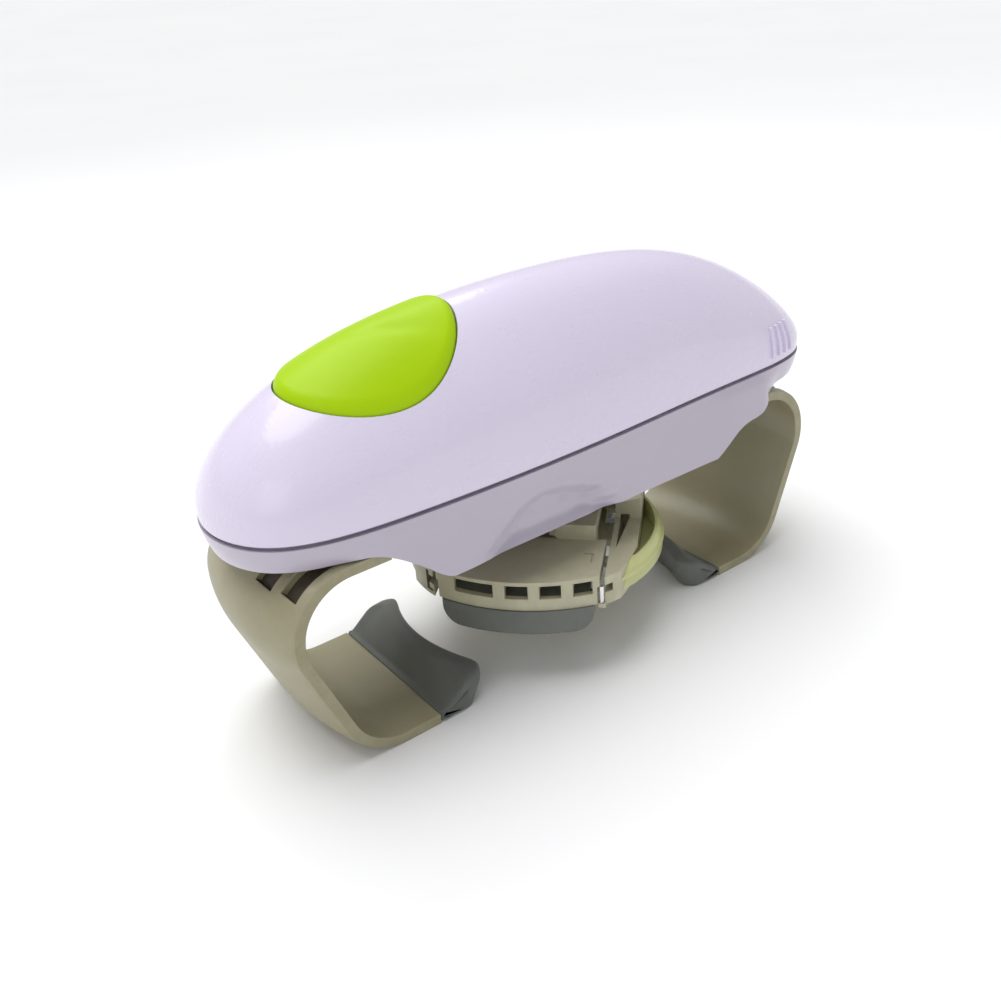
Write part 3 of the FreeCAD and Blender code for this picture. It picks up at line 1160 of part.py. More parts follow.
plates = [box(31.0, 31.3, -13.0, -2.0, 3.0, 14.5), box(31.0, 31.3, 2.0, 13.0, 3.0, 14.5), box(84.3, 84.6, -13.0, 13.0, 4.05, 12.0)]
out("contact_plates", group(*plates))
cs = []
for (x0, x1, y) in ((31.3, CELL_X0, -7.5), (CELL_X0 + CELL_L, 84.3, 7.5)):
    s_ = coil(2.6, 0.35, 0.0, x1 - x0, 2)
    s_.rotate(V(0, 0, 0), V(0, 1, 0), 90)
    s_.translate(V(x0, y, CELL_Z))
    cs.append(s_)
out("contact_springs", group(*cs))

for nme in sorted(NODES):
    s = NODES[nme]
    bb = s.BoundBox
    print("%-20s solids %d valid %s vol %9.1f  x %7.2f %7.2f  y %7.2f %7.2f  z %7.2f %7.2f" % (
        nme, len(s.Solids), s.isValid(), s.Volume, bb.XMin, bb.XMax, bb.YMin, bb.YMax, bb.ZMin, bb.ZMax))
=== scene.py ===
import bpy
import bmesh
import json
import math
from mathutils import Matrix, Vector


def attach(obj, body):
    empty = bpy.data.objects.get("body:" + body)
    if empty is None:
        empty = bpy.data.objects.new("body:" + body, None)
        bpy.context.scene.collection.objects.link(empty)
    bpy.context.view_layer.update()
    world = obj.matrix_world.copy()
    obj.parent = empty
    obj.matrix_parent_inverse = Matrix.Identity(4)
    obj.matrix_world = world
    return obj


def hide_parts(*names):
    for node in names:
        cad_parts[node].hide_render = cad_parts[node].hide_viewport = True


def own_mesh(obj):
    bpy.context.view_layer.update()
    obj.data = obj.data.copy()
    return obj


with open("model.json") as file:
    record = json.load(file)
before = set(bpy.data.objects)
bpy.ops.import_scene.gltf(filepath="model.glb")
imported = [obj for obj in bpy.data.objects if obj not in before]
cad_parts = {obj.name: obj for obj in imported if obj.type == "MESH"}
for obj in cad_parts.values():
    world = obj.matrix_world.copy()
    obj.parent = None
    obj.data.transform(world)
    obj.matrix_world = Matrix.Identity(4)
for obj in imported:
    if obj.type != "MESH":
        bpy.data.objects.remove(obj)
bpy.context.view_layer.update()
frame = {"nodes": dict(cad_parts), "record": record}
NODES = frame["nodes"]

AXIS_X = -3.2e-3      # turntable axis
ZP = 64.3e-3          # parting plane
MM = 0.001

# ----------------------------------------------------------------------
# camera, set first: the photograph's viewing angle
# ----------------------------------------------------------------------
A, E, R = math.radians(35.35), math.radians(27.66), math.radians(-4.13)
right0 = Vector((math.cos(A), -math.sin(A), 0))
down0 = Vector((-math.sin(A) * math.sin(E), -math.cos(A) * math.sin(E), -math.cos(E)))
fwd = Vector((math.sin(A) * math.cos(E), math.cos(A) * math.cos(E), -math.sin(E)))
right = math.cos(R) * right0 - math.sin(R) * down0
down = math.sin(R) * right0 + math.cos(R) * down0
cam_data = bpy.data.cameras.new("camera")
cam = bpy.data.objects.new("camera", cam_data)
bpy.context.collection.objects.link(cam)
cam_data.sensor_width = 36.0
cam_data.sensor_fit = 'HORIZONTAL'
cam_data.lens = 1013.14 / 1001.0 * 36.0
cam_data.clip_start = 0.01
cam_data.clip_end = 20.0
up = -down
back = -fwd
m = Matrix(((right.x, up.x, back.x, -0.1631),
            (right.y, up.y, back.y, -0.2089),
            (right.z, up.z, back.z, 0.1759),
            (0, 0, 0, 1)))
cam.matrix_world = m
bpy.context.scene.camera = cam


# ----------------------------------------------------------------------
# materials
# ----------------------------------------------------------------------
class Mat:
    def __init__(self, name):
        self.m = bpy.data.materials.new(name)
        self.m.use_nodes = True
        self.t = self.m.node_tree
        for n in list(self.t.nodes):
            self.t.nodes.remove(n)
        self.out = self.node('ShaderNodeOutputMaterial')
        self.b = self.node('ShaderNodeBsdfPrincipled')
        self.link(self.b, 'BSDF', self.out, 'Surface')
        self._geo = None

    def node(self, kind, **kw):
        n = self.t.nodes.new(kind)
        for k, v in kw.items():
            setattr(n, k, v)
        return n

    def link(self, a, ao, b, bi):
        self.t.links.new(a.outputs[ao], b.inputs[bi])

    def set(self, **kw):
        for k, v in kw.items():
            key = k.replace('_', ' ')
            if key in self.b.inputs:
                self.b.inputs[key].default_value = v

    def coords(self):
        # object space is the row frame, so the texture is fixed to the part
        if self._geo is None:
            self._geo = self.node('ShaderNodeTexCoord')
        return self._geo

    def noise(self, scale, detail=3.0, rough=0.5, dist=0.0, stretch=None):
        n = self.node('ShaderNodeTexNoise')
        n.inputs['Scale'].default_value = scale
        n.inputs['Detail'].default_value = detail
        n.inputs['Roughness'].default_value = rough
        n.inputs['Distortion'].default_value = dist
        if stretch:
            mp = self.node('ShaderNodeMapping')
            mp.inputs['Scale'].default_value = stretch
            self.link(self.coords(), 'Object', mp, 'Vector')
            self.link(mp, 'Vector', n, 'Vector')
        else:
            self.link(self.coords(), 'Object', n, 'Vector')
        return n

    def ramp(self, src, out, stops):
        r = self.node('ShaderNodeValToRGB')
        el = r.color_ramp.elements
        while len(el) > 1:
            el.remove(el[-1])
        el[0].position = stops[0][0]
        el[0].color = stops[0][1]
        for p, c in stops[1:]:
            e = el.new(p)
            e.color = c
        self.t.links.new(src.outputs[out], r.inputs['Fac'])
        return r

    def math(self, op, a, b=None):
        n = self.node('ShaderNodeMath', operation=op)
        for i, v in enumerate((a, b)):
            if v is None:
                continue
            if isinstance(v, tuple):
                self.t.links.new(v[0].outputs[v[1]], n.inputs[i])
            else:
                n.inputs[i].default_value = v
        return n


def c4(r, g, b):
    return (r, g, b, 1.0)


def mul(c, k):
    return (min(1, c[0] * k), min(1, c[1] * k), min(1, c[2] * k), 1.0)


def plastic(name, base, alt, rough, rough_var=0.06, grain=1400.0, grain_h=0.02, orange=0.0, coat=0.0, coat_rough=0.05,
            edge=0.25, edge_col=None, spec=0.5, sss=0.0, scuff=0.35):
    """Moulded plastic: two-tone cloudy colour, moulded grain, fine scuffs, softened and slightly worn edges."""
    M = Mat(name)
    cloud = M.noise(28.0, 4.0, 0.55)
    fine = M.noise(520.0, 3.0, 0.6)
    mixf = M.math('MULTIPLY_ADD', (fine, 'Fac'), 0.35)
    mixf.inputs[2].default_value = 0.0
    add = M.math('ADD', (cloud, 'Fac'), (mixf, 'Value'))
    r = M.ramp(add, 'Value', [(0.42, base), (0.95, alt)])
    # worn, paler edges from the surface's own curvature
    geo = M.node('ShaderNodeNewGeometry')
    pt = M.ramp(geo, 'Pointiness', [(0.50, c4(0, 0, 0)), (0.58, c4(1, 1, 1))])
    wear = M.noise(160.0, 4.0, 0.6)
    wr = M.ramp(wear, 'Fac', [(0.40, c4(0, 0, 0)), (0.65, c4(1, 1, 1))])
    wm = M.math('MULTIPLY', (pt, 'Color'), (wr, 'Color'))
    wk = M.math('MULTIPLY', (wm, 'Value'), edge)
    mix = M.node('ShaderNodeMix', data_type='RGBA')
    M.t.links.new(wk.outputs['Value'], mix.inputs['Factor'])
    M.t.links.new(r.outputs['Color'], mix.inputs['A'])
    mix.inputs['B'].default_value = edge_col or mul(base, 1.25)
    M.t.links.new(mix.outputs['Result'], M.b.inputs['Base Color'])
    # roughness: handling marks and hairline scuffs
    smudge = M.noise(60.0, 5.0, 0.62, 0.6)
    hair = M.noise(240.0, 2.0, 0.5, 0.0, stretch=(0.25, 3.0, 1.0))
    hm = M.math('MULTIPLY', (hair, 'Fac'), scuff)
    sm = M.math('ADD', (smudge, 'Fac'), (hm, 'Value'))
    rr = M.node('ShaderNodeMapRange')
    rr.inputs['From Min'].default_value = 0.3
    rr.inputs['From Max'].default_value = 0.9
    rr.inputs['To Min'].default_value = max(0.02, rough - rough_var)
    rr.inputs['To Max'].default_value = rough + rough_var
    M.t.links.new(sm.outputs['Value'], rr.inputs['Value'])
    M.t.links.new(rr.outputs['Result'], M.b.inputs['Roughness'])
    # grain bump, with an optional broad waviness of the moulding
    g = M.noise(grain, 2.0, 0.55)
    bump = M.node('ShaderNodeBump')
    bump.inputs['Strength'].default_value = 0.6
    bump.inputs['Distance'].default_value = grain_h * MM
    M.t.links.new(g.outputs['Fac'], bump.inputs['Height'])
    last = bump
    if orange:
        o = M.noise(130.0, 1.0, 0.4)
        b2 = M.node('ShaderNodeBump')
        b2.inputs['Strength'].default_value = 0.5
        b2.inputs['Distance'].default_value = orange * MM
        M.t.links.new(o.outputs['Fac'], b2.inputs['Height'])
        M.t.links.new(bump.outputs['Normal'], b2.inputs['Normal'])
        last = b2
    M.t.links.new(last.outputs['Normal'], M.b.inputs['Normal'])
    M.b.inputs['Specular IOR Level'].default_value = spec
    M.b.inputs['Coat Weight'].default_value = coat
    M.b.inputs['Coat Roughness'].default_value = coat_rough
    if sss:
        M.b.inputs['Subsurface Weight'].default_value = sss
        M.b.inputs['Subsurface Radius'].default_value = (0.004, 0.003, 0.002)
        M.b.inputs['Subsurface Scale'].default_value = 0.4
    return M.m


def rubber(name, base, alt):
    M = Mat(name)
    cloud = M.noise(45.0, 5.0, 0.6)
    r = M.ramp(cloud, 'Fac', [(0.35, base), (0.7, alt)])
    geo = M.node('ShaderNodeNewGeometry')
    pt = M.ramp(geo, 'Pointiness', [(0.49, c4(0, 0, 0)), (0.57, c4(1, 1, 1))])
    mix = M.node('ShaderNodeMix', data_type='RGBA')
    k = M.math('MULTIPLY', (pt, 'Color'), 0.35)
    M.t.links.new(k.outputs['Value'], mix.inputs['Factor'])
    M.t.links.new(r.outputs['Color'], mix.inputs['A'])
    mix.inputs['B'].default_value = mul(alt, 1.6)
    M.t.links.new(mix.outputs['Result'], M.b.inputs['Base Color'])
    sm = M.noise(90.0, 4.0, 0.6)
    rr = M.node('ShaderNodeMapRange')
    rr.inputs['To Min'].default_value = 0.46
    rr.inputs['To Max'].default_value = 0.70
    M.t.links.new(sm.outputs['Fac'], rr.inputs['Value'])
    M.t.links.new(rr.outputs['Result'], M.b.inputs['Roughness'])
    v = M.node('ShaderNodeTexVoronoi')
    v.inputs['Scale'].default_value = 1600.0
    M.link(M.coords(), 'Object', v, 'Vector')
    g = M.noise(700.0, 3.0, 0.6)
    s = M.math('ADD', (v, 'Distance'), (g, 'Fac'))
    bump = M.node('ShaderNodeBump')
    bump.inputs['Strength'].default_value = 0.5
    bump.inputs['Distance'].default_value = 0.05 * MM
    M.t.links.new(s.outputs['Value'], bump.inputs['Height'])
    M.t.links.new(bump.outputs['Normal'], M.b.inputs['Normal'])
    M.b.inputs['Specular IOR Level'].default_value = 0.35
    M.b.inputs['Sheen Weight'].default_value = 0.12
    M.b.inputs['Sheen Roughness'].default_value = 0.5
    return M.m


def metal(name, base, alt, rough, brushed=True):
    M = Mat(name)
    M.b.inputs['Metallic'].default_value = 1.0
    st = M.noise(900.0, 3.0, 0.6, 0.0, stretch=(1.0, 1.0, 0.06)) if brushed else M.noise(200.0, 3.0, 0.6)
    r = M.ramp(st, 'Fac', [(0.3, base), (0.75, alt)])
    M.t.links.new(r.outputs['Color'], M.b.inputs['Base Color'])
    rr = M.node('ShaderNodeMapRange')
    rr.inputs['To Min'].default_value = rough * 0.7
    rr.inputs['To Max'].default_value = rough * 1.4
    M.t.links.new(st.outputs['Fac'], rr.inputs['Value'])
    M.t.links.new(rr.outputs['Result'], M.b.inputs['Roughness'])
    bump = M.node('ShaderNodeBump')
    bump.inputs['Strength'].default_value = 0.3
    bump.inputs['Distance'].default_value = 0.01 * MM
    M.t.links.new(st.outputs['Fac'], bump.inputs['Height'])
    M.t.links.new(bump.outputs['Normal'], M.b.inputs['Normal'])
    return M.m


def paint_groove_shade(mat, lo, hi, col, soft=0.12):
    """Painted shade in a parting groove: the colour between two heights (mm above the standing surface) turns to col.
    """
    tree = mat.node_tree
    bsdf = [n for n in tree.nodes if n.type == 'BSDF_PRINCIPLED'][0]
    link = bsdf.inputs['Base Color'].links[0]
    src = link.from_socket
    tc = tree.nodes.new('ShaderNodeTexCoord')
    sep = tree.nodes.new('ShaderNodeSeparateXYZ')
    tree.links.new(tc.outputs['Object'], sep.inputs['Vector'])
    r = tree.nodes.new('ShaderNodeMapRange')
    r.inputs['From Min'].default_value = 0.0
    r.inputs['From Max'].default_value = 0.128
    tree.links.new(sep.outputs['Z'], r.inputs['Value'])
    ramp = tree.nodes.new('ShaderNodeValToRGB')
    el = ramp.color_ramp.elements
    while len(el) > 1:
        el.remove(el[-1])
    k = 1 / 128.0
    el[0].position = (lo - soft) * k
    el[0].color = (0, 0, 0, 1)
    for q, v in ((lo, 1), (hi, 1), (hi + soft, 0)):
        e = el.new(q * k)
        e.color = (v, v, v, 1)
    tree.links.new(r.outputs['Result'], ramp.inputs['Fac'])
    mix = tree.nodes.new('ShaderNodeMix')
    mix.data_type = 'RGBA'
    tree.links.new(ramp.outputs['Color'], mix.inputs['Factor'])
    tree.links.new(src, mix.inputs['A'])
    mix.inputs['B'].default_value = col
    tree.links.new(mix.outputs['Result'], bsdf.inputs['Base Color'])
    return mat


MATS = {
    "shell_plastic": plastic("shell_gloss", c4(0.765, 0.700, 0.868), c4(0.785, 0.720, 0.888), 0.27, 0.025, 1200, 0.0012, 0.003, 0.35, 0.08, 0.0, c4(0.90, 0.87, 0.95)),
    # the lower shell is a darker copy of the upper shell's lavender: painted shade for the lower body, which gets less
    # light from above
    "lower_shell_plastic": plastic("lower_gloss_shaded", c4(0.520, 0.468, 0.562), c4(0.545, 0.492, 0.588), 0.30, 0.025, 1200, 0.0012, 0.003, 0.30, 0.10, 0.0, c4(0.92, 0.89, 0.96)),
    "button_plastic": plastic("button_lime", c4(0.400, 0.640, 0.0008), c4(0.430, 0.675, 0.002), 0.40, 0.05, 1500, 0.006, 0.006, 0.0, 0.15, 0.0, c4(0.62, 0.86, 0.08), spec=0.20),
    "arm_plastic": plastic("arm_olive", c4(0.300, 0.275, 0.165), c4(0.345, 0.318, 0.198), 0.40, 0.07, 1300, 0.012, 0.0, 0.06, 0.25, 0.45, c4(0.52, 0.49, 0.36), spec=0.4),
    "jaw_plastic": plastic("jaw_beige", c4(0.455, 0.432, 0.298), c4(0.510, 0.488, 0.344), 0.42, 0.07, 1300, 0.012, 0.0, 0.06, 0.25, 0.6, c4(0.68, 0.65, 0.50), spec=0.4),
    "drum_plastic": plastic("drum_lime", c4(0.520, 0.540, 0.210), c4(0.600, 0.620, 0.280), 0.34, 0.06, 1300, 0.010, 0.0, 0.20, 0.2, 0.45, c4(0.80, 0.82, 0.45)),
    "pad_rubber": rubber("pad_rubber", c4(0.110, 0.118, 0.106), c4(0.150, 0.158, 0.142)),
    "inner_plastic": plastic("inner_white", c4(0.60, 0.60, 0.57), c4(0.68, 0.68, 0.65), 0.5, 0.06),
    "gear_plastic": plastic("gear_white", c4(0.74, 0.72, 0.64), c4(0.80, 0.78, 0.70), 0.42, 0.06),
    "dark_plastic": plastic("dark_plastic", c4(0.020, 0.020, 0.022), c4(0.035, 0.035, 0.038), 0.45, 0.08),
    "board": plastic("board_green", c4(0.012, 0.085, 0.03), c4(0.02, 0.13, 0.05), 0.35, 0.05),
    "steel": metal("steel_bright", c4(0.72, 0.72, 0.72), c4(0.86, 0.86, 0.86), 0.20),
    "zinc": metal("zinc_plate", c4(0.50, 0.51, 0.53), c4(0.64, 0.65, 0.67), 0.32, False),
    "brass": metal("brass", c4(0.72, 0.52, 0.22), c4(0.82, 0.64, 0.30), 0.28, False),
    "bearing_plastic": plastic("acetal", c4(0.78, 0.76, 0.70), c4(0.83, 0.81, 0.75), 0.38, 0.05),
    "cell_sleeve": plastic("cell_sleeve", c4(0.015, 0.018, 0.022), c4(0.03, 0.034, 0.04), 0.25, 0.05, coat=0.5),
    "magnet": plastic("magnet", c4(0.03, 0.03, 0.032), c4(0.05, 0.05, 0.052), 0.6, 0.06),
}
# painted shade: the groove walls of both shells are coloured dark purple in place of the shade inside the parting
# groove
paint_groove_shade(MATS["lower_shell_plastic"], 64.08, 66.0, c4(0.150, 0.122, 0.180))
paint_groove_shade(MATS["shell_plastic"], 60.0, 64.74, c4(0.150, 0.122, 0.180), 0.05)


def paint_pocket_shade(mat, col):
    """Painted shade: inside the two pairs of shallow pockets in the arms' shoulders the colour turns near-black brown,
    standing in for the shade in these recesses.
    """
    tree = mat.node_tree
    bsdf = [n for n in tree.nodes if n.type == 'BSDF_PRINCIPLED'][0]
    src = bsdf.inputs['Base Color'].links[0].from_socket
    tc = tree.nodes.new('ShaderNodeTexCoord')
    sep = tree.nodes.new('ShaderNodeSeparateXYZ')
    tree.links.new(tc.outputs['Object'], sep.inputs['Vector'])

    def mt(op, a, b=None, c=None):
        n = tree.nodes.new('ShaderNodeMath')
        n.operation = op
        for i, v in enumerate((a, b, c)):
            if v is None:
                continue
            if isinstance(v, (int, float)):
                n.inputs[i].default_value = v
            else:
                tree.links.new(v, n.inputs[i])
        return n.outputs[0]
    th = math.radians(20.87)
    ax = mt('ABSOLUTE', mt('SUBTRACT', sep.outputs['X'], AXIS_X))
    ay = mt('ABSOLUTE', sep.outputs['Y'])
    y2 = mt('MULTIPLY', ay, ay)
    # the corner's centre bows with y
    cx0 = 97.5 - 14.16 * math.tan(th) - 14.16 / math.cos(th)
    cx = mt('MULTIPLY_ADD', y2, -4.0 / (0.0252 ** 2) * MM, cx0 * MM)
    dx = mt('SUBTRACT', ax, cx)
    dz = mt('SUBTRACT', sep.outputs['Z'], (64.3 - 10.35 - 14.16) * MM)
    r = mt('SQRT', mt('ADD', mt('MULTIPLY', dx, dx), mt('MULTIPLY', dz, dz)))

    def inside(v, lo, hi):
        return mt('MULTIPLY', mt('GREATER_THAN', v, lo * MM), mt('LESS_THAN', v, hi * MM))
    rad = inside(r, 14.9, 16.75)
    band = mt('MAXIMUM', inside(ay, 6.25, 13.15), inside(ay, 16.45, 22.15))
    up = mt('GREATER_THAN', dz, 5.0 * MM)
    out = mt('GREATER_THAN', dx, -2.0 * MM)
    f = mt('MULTIPLY', mt('MULTIPLY', rad, band), mt('MULTIPLY', up, out))
    mix = tree.nodes.new('ShaderNodeMix')
    mix.data_type = 'RGBA'
    tree.links.new(f, mix.inputs['Factor'])
    tree.links.new(src, mix.inputs['A'])
    mix.inputs['B'].default_value = col
    tree.links.new(mix.outputs['Result'], bsdf.inputs['Base Color'])


# near-black brown painted shade inside the arm pockets
paint_pocket_shade(MATS["arm_plastic"], c4(0.060, 0.050, 0.030))
MATS["cover_plastic"] = MATS["shell_plastic"]

slot_of = {s["node"]: s["material_slot"] for s in frame["record"]["subparts"]}
for name, ob in NODES.items():
    s = slot_of.get(name)
    if s in MATS:
        if not ob.material_slots:
            ob.data.materials.append(MATS[s])
        for sl in ob.material_slots:
            sl.material = MATS[s]


# ----------------------------------------------------------------------
# pieces drawn natively
# ----------------------------------------------------------------------
EGG_B, EGG_P = 27.5, (-0.163, 0.20, 0.154, 0.72)
EGG_H, EGG_Q = 38.3, (0.01, 0.145, -0.178, -0.26)
EGG_EPS, EGG_Z0, BODY_XC, BODY_HALF = 0.045, 2.8, 3.2, 99.0


def poly4(c, t):
    return 1 + c[0] * t + c[1] * t ** 2 + c[2] * t ** 3 + c[3] * t ** 4


def dome_z(x, y):
    """Height (mm, above the parting plane) of the body over a plan point."""
    t = max(-1.0, min(1.0, (x - BODY_XC) / BODY_HALF))
    root = math.sqrt(max(0.0, 1 - t * t))
    w, h = EGG_B * root * poly4(EGG_P, t), EGG_H * root * poly4(EGG_Q, t)
    lo, hi = 0.0, math.pi / 2
    for _ in range(40):
        k = (lo + hi) / 2
        if w * (1 - EGG_EPS * math.sin(2 * k) ** 2) * math.cos(k) > abs(y):
            lo = k
        else:
            hi = k
    return EGG_Z0 + h * (1 - EGG_EPS * math.sin(2 * lo) ** 2) * math.sin(lo)


def mesh_piece(name, verts, faces, mat, body, nodes=(), smooth_angle=40.0):
    """verts in mm beside the turntable axis and the parting plane."""
    me = bpy.data.meshes.new(name)
    me.from_pydata([(x * MM + AXIS_X, y * MM, z * MM + ZP) for x, y, z in verts], [], faces)
    me.validate()
    bm = bmesh.new()
    bm.from_mesh(me)
    bmesh.ops.remove_doubles(bm, verts=bm.verts, dist=1e-6)
    bmesh.ops.recalc_face_normals(bm, faces=bm.faces)
    for f in bm.faces:
        f.smooth = True
    lim = math.radians(smooth_angle)
    for e in bm.edges:
        e.smooth = len(e.link_faces) == 2 and e.calc_face_angle(0.0) < lim
    bm.to_mesh(me)
    bm.free()
    ob = bpy.data.objects.new(name, me)
    bpy.context.collection.objects.link(ob)
    me.materials.append(mat)
    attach(ob, body)
    if nodes:
        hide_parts(*nodes)
    return ob


def ring_faces(rings, n, closed_start=None, closed_end=None):
    f = []
    for i in range(rings - 1):
        for j in range(n):
            k = (j + 1) % n
            f.append((i * n + j, i * n + k, (i + 1) * n + k, (i + 1) * n + j))
    return f


# ---- start button: crowned lens with a rolled edge, a shallow finger dimple and its flange and stem inside
BTN_X0, BTN_X1, BTN_XW, BTN_W, BTN_Y, BTN_RISE = -73.6, -26.2, -48.2, 17.4, -2.5, 1.4
DIMPLE = (-43.0, -6.0, -30.0)        # place and direction of the dimple


def btn_z(x, y):
    z = dome_z(x, y) + BTN_RISE
    a = math.radians(DIMPLE[2])
    u = (x - DIMPLE[0]) * math.cos(a) + (y - DIMPLE[1]) * math.sin(a)
    v = -(x - DIMPLE[0]) * math.sin(a) + (y - DIMPLE[1]) * math.cos(a)
    q = (u / 9.0) ** 2 + (v / 2.2) ** 2
    return z - 0.62 * math.exp(-q * 1.2)


def button():
    N = 160
    R = 2.1
    verts, rings = [], 0
    rho = [0.02] + [0.06 + 0.80 * i / 17 for i in range(18)] + [0.86 + 0.14 * math.sin(math.pi / 2 * i / 12) for i in range(1, 13)]

    def pt(th, k, grow=0.0):
        c, s = math.cos(th), math.sin(th)
        lx = (BTN_XW - BTN_X0) if c < 0 else (BTN_X1 - BTN_XW)
        return BTN_XW + (lx * k + grow) * c, BTN_Y + (BTN_W * k + grow) * s
    ths = [2 * math.pi * j / N for j in range(N)]
    for k in rho:
        for th in ths:
            x, y = pt(th, k)
            ex, ey = pt(th, 1.0)
            d = math.hypot(ex - x, ey - y)
            drop = R - math.sqrt(max(0.0, R * R - (R - d) ** 2)) if d < R else 0.0
            verts.append((x, y, btn_z(x, y) - drop))
        rings += 1
    for grow, dz in ((0.0, -1.3), (0.0, -2.7), (1.5, -2.7), (1.5, -4.2), (-2.4, -4.2), (-2.4, -1.0), (-14.0, -0.9)):
        for th in ths:
            x, y = pt(th, 1.0, grow)
            verts.append((x, y, dome_z(x, y) + dz))
        rings += 1
    faces = ring_faces(rings, N)
    # centre caps
    verts.append((BTN_XW, BTN_Y, btn_z(BTN_XW, BTN_Y)))
    c0 = len(verts) - 1
    verts.append((BTN_XW, BTN_Y, dome_z(BTN_XW, BTN_Y) - 0.8))
    c1 = len(verts) - 1
    for j in range(N):
        faces.append((c0, (j + 1) % N, j))
        b = (rings - 1) * N
        faces.append((c1, b + j, b + (j + 1) % N))
    # stem and the two ribs across it
    def stem(r, z0, z1, n=40):
        b = len(verts)
        for z in (z0, z1):
            for j in range(n):
                a = 2 * math.pi * j / n
                verts.append((-50.0 + r * math.cos(a), r * math.sin(a), z))
        for j in range(n):
            k = (j + 1) % n
            faces.append((b + j, b + k, b + n + k, b + n + j))
        faces.append(tuple(range(b, b + n)))
        faces.append(tuple(range(b + n, b + 2 * n)))

    def slab(x0, x1, y0, y1, z0, z1):
        b = len(verts)
        for z in (z0, z1):
            verts.extend([(x0, y0, z), (x1, y0, z), (x1, y1, z), (x0, y1, z)])
        faces.extend([(b, b + 3, b + 2, b + 1), (b + 4, b + 5, b + 6, b + 7), (b, b + 1, b + 5, b + 4), (b + 1, b + 2, b + 6, b + 5),
                      (b + 2, b + 3, b + 7, b + 6), (b + 3, b, b + 4, b + 7)])
    stem(2.2, 18.15, 33.0)
    slab(-62.0, -38.0, -0.7, 0.7, 26.2, 31.5)
    slab(-50.7, -49.3, -11.0, 11.0, 26.2, 31.5)
    return mesh_piece("start_button_visual", verts, faces, MATS["button_plastic"], "button", ("start_button",), 50.0)


button()


# ---- rubber pads of the outer arms: back slope, rolled crest that dips in the middle, two rounded horns
def rounded(pts, seg=9):
    """Closed outline from corners (x, z, radius)."""
    out = []
    n = len(pts)
    for i in range(n):
        x, z, r = pts[i]
        ax, az = pts[i - 1][:2]
        bx, bz = pts[(i + 1) % n][:2]
        if r <= 0:
            out.append((x, z))
            continue
        la, lb = math.hypot(ax - x, az - z), math.hypot(bx - x, bz - z)
        ux, uz, vx, vz = (ax - x) / la, (az - z) / la, (bx - x) / lb, (bz - z) / lb
        cosv = max(-1, min(1, ux * vx + uz * vz))
        half = math.acos(cosv) / 2
        d = min(r / math.tan(half), 0.48 * la, 0.48 * lb)
        for k in range(seg + 1):
            t = k / seg
            q0, q1, q2 = (1 - t) ** 2, 2 * t * (1 - t), t * t
            out.append((q0 * (x + ux * d) + q1 * x + q2 * (x + vx * d), q0 * (z + uz * d) + q1 * z + q2 * (z + vz * d)))
    return out


def pad_outline(y):
    a = abs(y)
    xf = -43.2 + 5.8 * min(1.0, a / 21.5) ** 2
    e = min(1.0, max(0.0, (a - 18.4) / 7.0))
    shrink = 6.4 * (1 - math.sqrt(max(0.0, 1 - e * e)))
    xf -= shrink
    zt = -53.0 - 1.0 * (a / 25.4) ** 2 - 0.42 * shrink
    zb, zf, xb = -64.3, -61.4, -53.7
    pts = [(xb, zb, 1.2), (xb, zf + 0.25, 0.45), (xb + 1.6, zf + 0.4, 2.5), (xf - 4.4, zt - 0.5, 3.0), (xf - 0.2, zt - 0.1, 2.0),
           (xf + 0.2, zt - 2.6, 1.2), (xf - 1.5, zb + 3.2, 3.0), (xf - 3.0, zb, 1.1)]
    q = rounded(pts)
    # rolled side edges
    d = 1.5 * (1 - math.sqrt(max(0.0, 1 - (max(0.0, a - 23.9) / 1.5) ** 2)))
    if d > 0:
        n = len(q)
        o = []
        for i, (x, z) in enumerate(q):
            x0, z0 = q[i - 1]
            x1, z1 = q[(i + 1) % n]
            tx, tz = x1 - x0, z1 - z0
            l = math.hypot(tx, tz) or 1.0
            o.append((max(xb, x + (tz / l) * d), z - (tx / l) * d))
        q = o
    return q


def pad(name, node, body, turn):
    ys = [0.0]
    for i in range(1, 27):
        ys.append(23.9 * i / 26.0)
    for i in range(1, 9):
        ys.append(23.9 + 1.5 * math.sin(math.pi / 2 * i / 8.0) * 0.995)
    ys = [-v for v in ys[:0:-1]] + ys
    verts, n = [], None
    for y in ys:
        q = pad_outline(y)
        n = len(q)
        for x, z in q:
            verts.append((-x, -y, z) if turn else (x, y, z))
    faces = ring_faces(len(ys), n)
    faces.append(tuple(range(n)))
    b = (len(ys) - 1) * n
    faces.append(tuple(range(b, b + n)))
    return mesh_piece(name, verts, faces, MATS["pad_rubber"], body, (node,), 45.0)


pad("left_arm_pad_visual", "left_arm_pad", "arm_left", False)
pad("right_arm_pad_visual", "right_arm_pad", "arm_right", True)

# ---- small rolled edges on the moulded pieces of the turntable and the arms
for nm, wd in (("front_jaw", 0.28), ("back_jaw", 0.28), ("turntable_frame", 0.30), ("drum_segment_front", 0.25), ("drum_segment_back", 0.25),
               ("left_arm", 0.45), ("right_arm", 0.45), ("turntable_base", 0.25), ("guide_pins", 0.12)):
    ob = NODES.get(nm)
    if ob is None:
        continue
    w = ob.modifiers.new("weld", 'WELD')
    w.merge_threshold = 1e-6
    b = ob.modifiers.new("edge", 'BEVEL')
    b.width = wd * MM
    b.segments = 2
    b.limit_method = 'ANGLE'
    b.angle_limit = math.radians(38)
    b.harden_normals = False
    b.use_clamp_overlap = True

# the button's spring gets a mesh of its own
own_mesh(NODES["button_spring"])

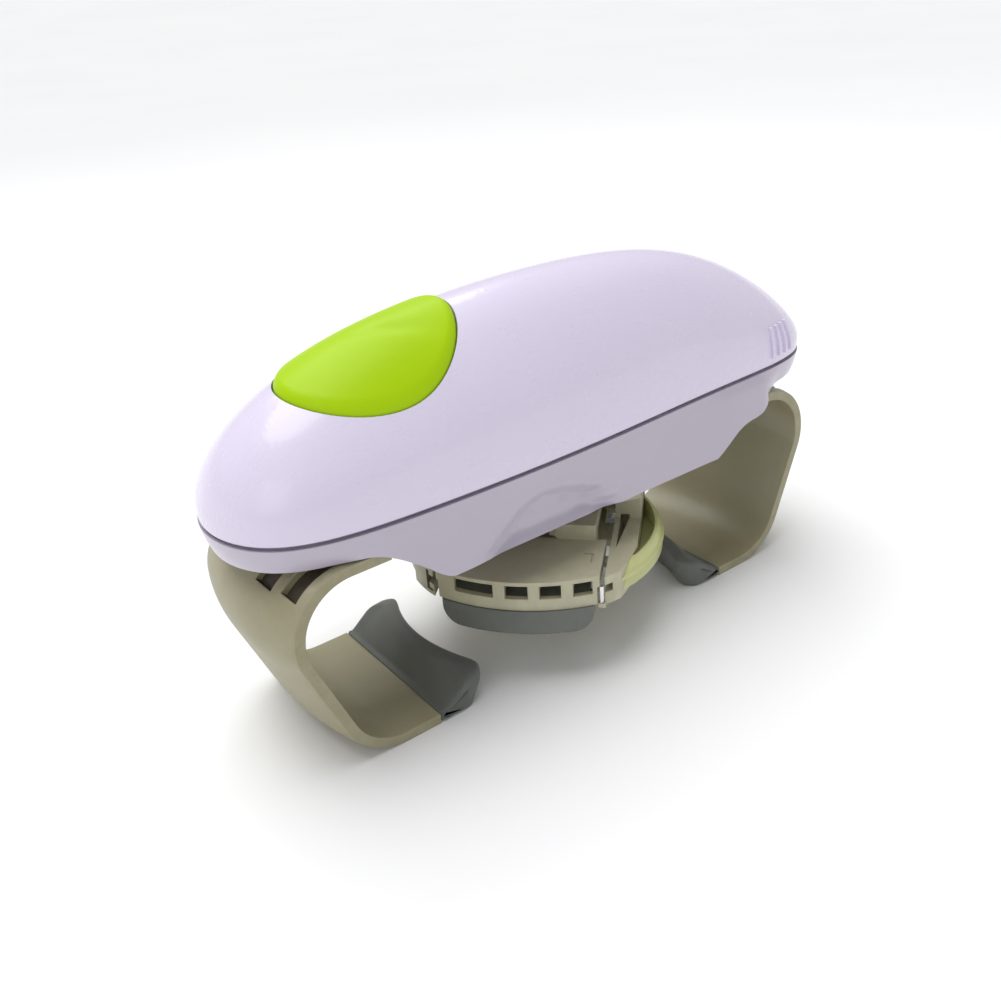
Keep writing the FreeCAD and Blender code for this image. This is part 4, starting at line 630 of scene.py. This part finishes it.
# ----------------------------------------------------------------------
# floor and light
# ----------------------------------------------------------------------
# a wide pale sheet, flat round the object and rising very gently far behind it
fv, ff = [(0.0, 0.0, 0.0)], []
RAD = [0.5, 1.0, 2.0, 2.5, 3.0, 3.5, 4.0, 6.0, 10.0, 20.0, 40.0]
for r_ in RAD:
    z_ = 0.0 if r_ < 2.0 else (0.026 * (r_ - 2.0) ** 2 if r_ < 4.0 else 0.104 + 0.104 * (r_ - 4.0))
    for k_ in range(72):
        fv.append((r_ * math.cos(math.radians(5 * k_)), r_ * math.sin(math.radians(5 * k_)), z_))
for k_ in range(72):
    ff.append((0, 1 + k_, 1 + (k_ + 1) % 72))
    for i_ in range(len(RAD) - 1):
        a_, b_ = 1 + i_ * 72, 1 + (i_ + 1) * 72
        ff.append((a_ + k_, b_ + k_, b_ + (k_ + 1) % 72, a_ + (k_ + 1) % 72))
fme = bpy.data.meshes.new("floor")
fme.from_pydata(fv, [], ff)
for q_ in fme.polygons:
    q_.use_smooth = True
floor = bpy.data.objects.new("floor", fme)
bpy.context.collection.objects.link(floor)
FM = Mat("floor_white")
fn = FM.noise(3.0, 2.0, 0.5)
fr = FM.ramp(fn, 'Fac', [(0.3, c4(0.93, 0.93, 0.935)), (0.7, c4(0.95, 0.95, 0.95))])
FM.t.links.new(fr.outputs['Color'], FM.b.inputs['Base Color'])
FM.b.inputs['Roughness'].default_value = 0.75
FM.b.inputs['Specular IOR Level'].default_value = 0.1
floor.data.materials.append(FM.m)

world = bpy.data.worlds.new("world")
bpy.context.scene.world = world
world.use_nodes = True
bg = world.node_tree.nodes["Background"]
bg.inputs["Color"].default_value = (0.97, 0.98, 1.0, 1)
bg.inputs["Strength"].default_value = 0.40


def area(name, loc, target, size, size_y, power, color=(1, 1, 1)):
    d = bpy.data.lights.new(name, 'AREA')
    d.shape = 'RECTANGLE'
    d.size = size
    d.size_y = size_y
    d.energy = power
    d.color = color
    o = bpy.data.objects.new(name, d)
    bpy.context.collection.objects.link(o)
    o.location = loc
    o.rotation_euler = (Vector(target) - Vector(loc)).to_track_quat('-Z', 'Y').to_euler()
    return o


def sun(name, direction, strength, angle, color=(1, 1, 1)):
    d = bpy.data.lights.new(name, 'SUN')
    d.energy = strength
    d.angle = math.radians(angle)
    d.color = color
    o = bpy.data.objects.new(name, d)
    bpy.context.collection.objects.link(o)
    o.rotation_euler = (-Vector(direction)).to_track_quat('-Z', 'Y').to_euler()
    return o


sun("key", (-0.10, 0.18, 1.0), 1.95, 50.0)
area("strip", (0.10, 0.55, 0.75), (0, 0, 0.08), 0.7, 0.25, 2.0)
area("front", (-0.80, -0.45, 0.55), (0, 0, 0.07), 0.5, 0.5, 0.75)

vs = bpy.context.scene.view_settings
vs.view_transform = 'Standard'
vs.look = 'None'
vs.exposure = 0.0
vs.gamma = 1.0
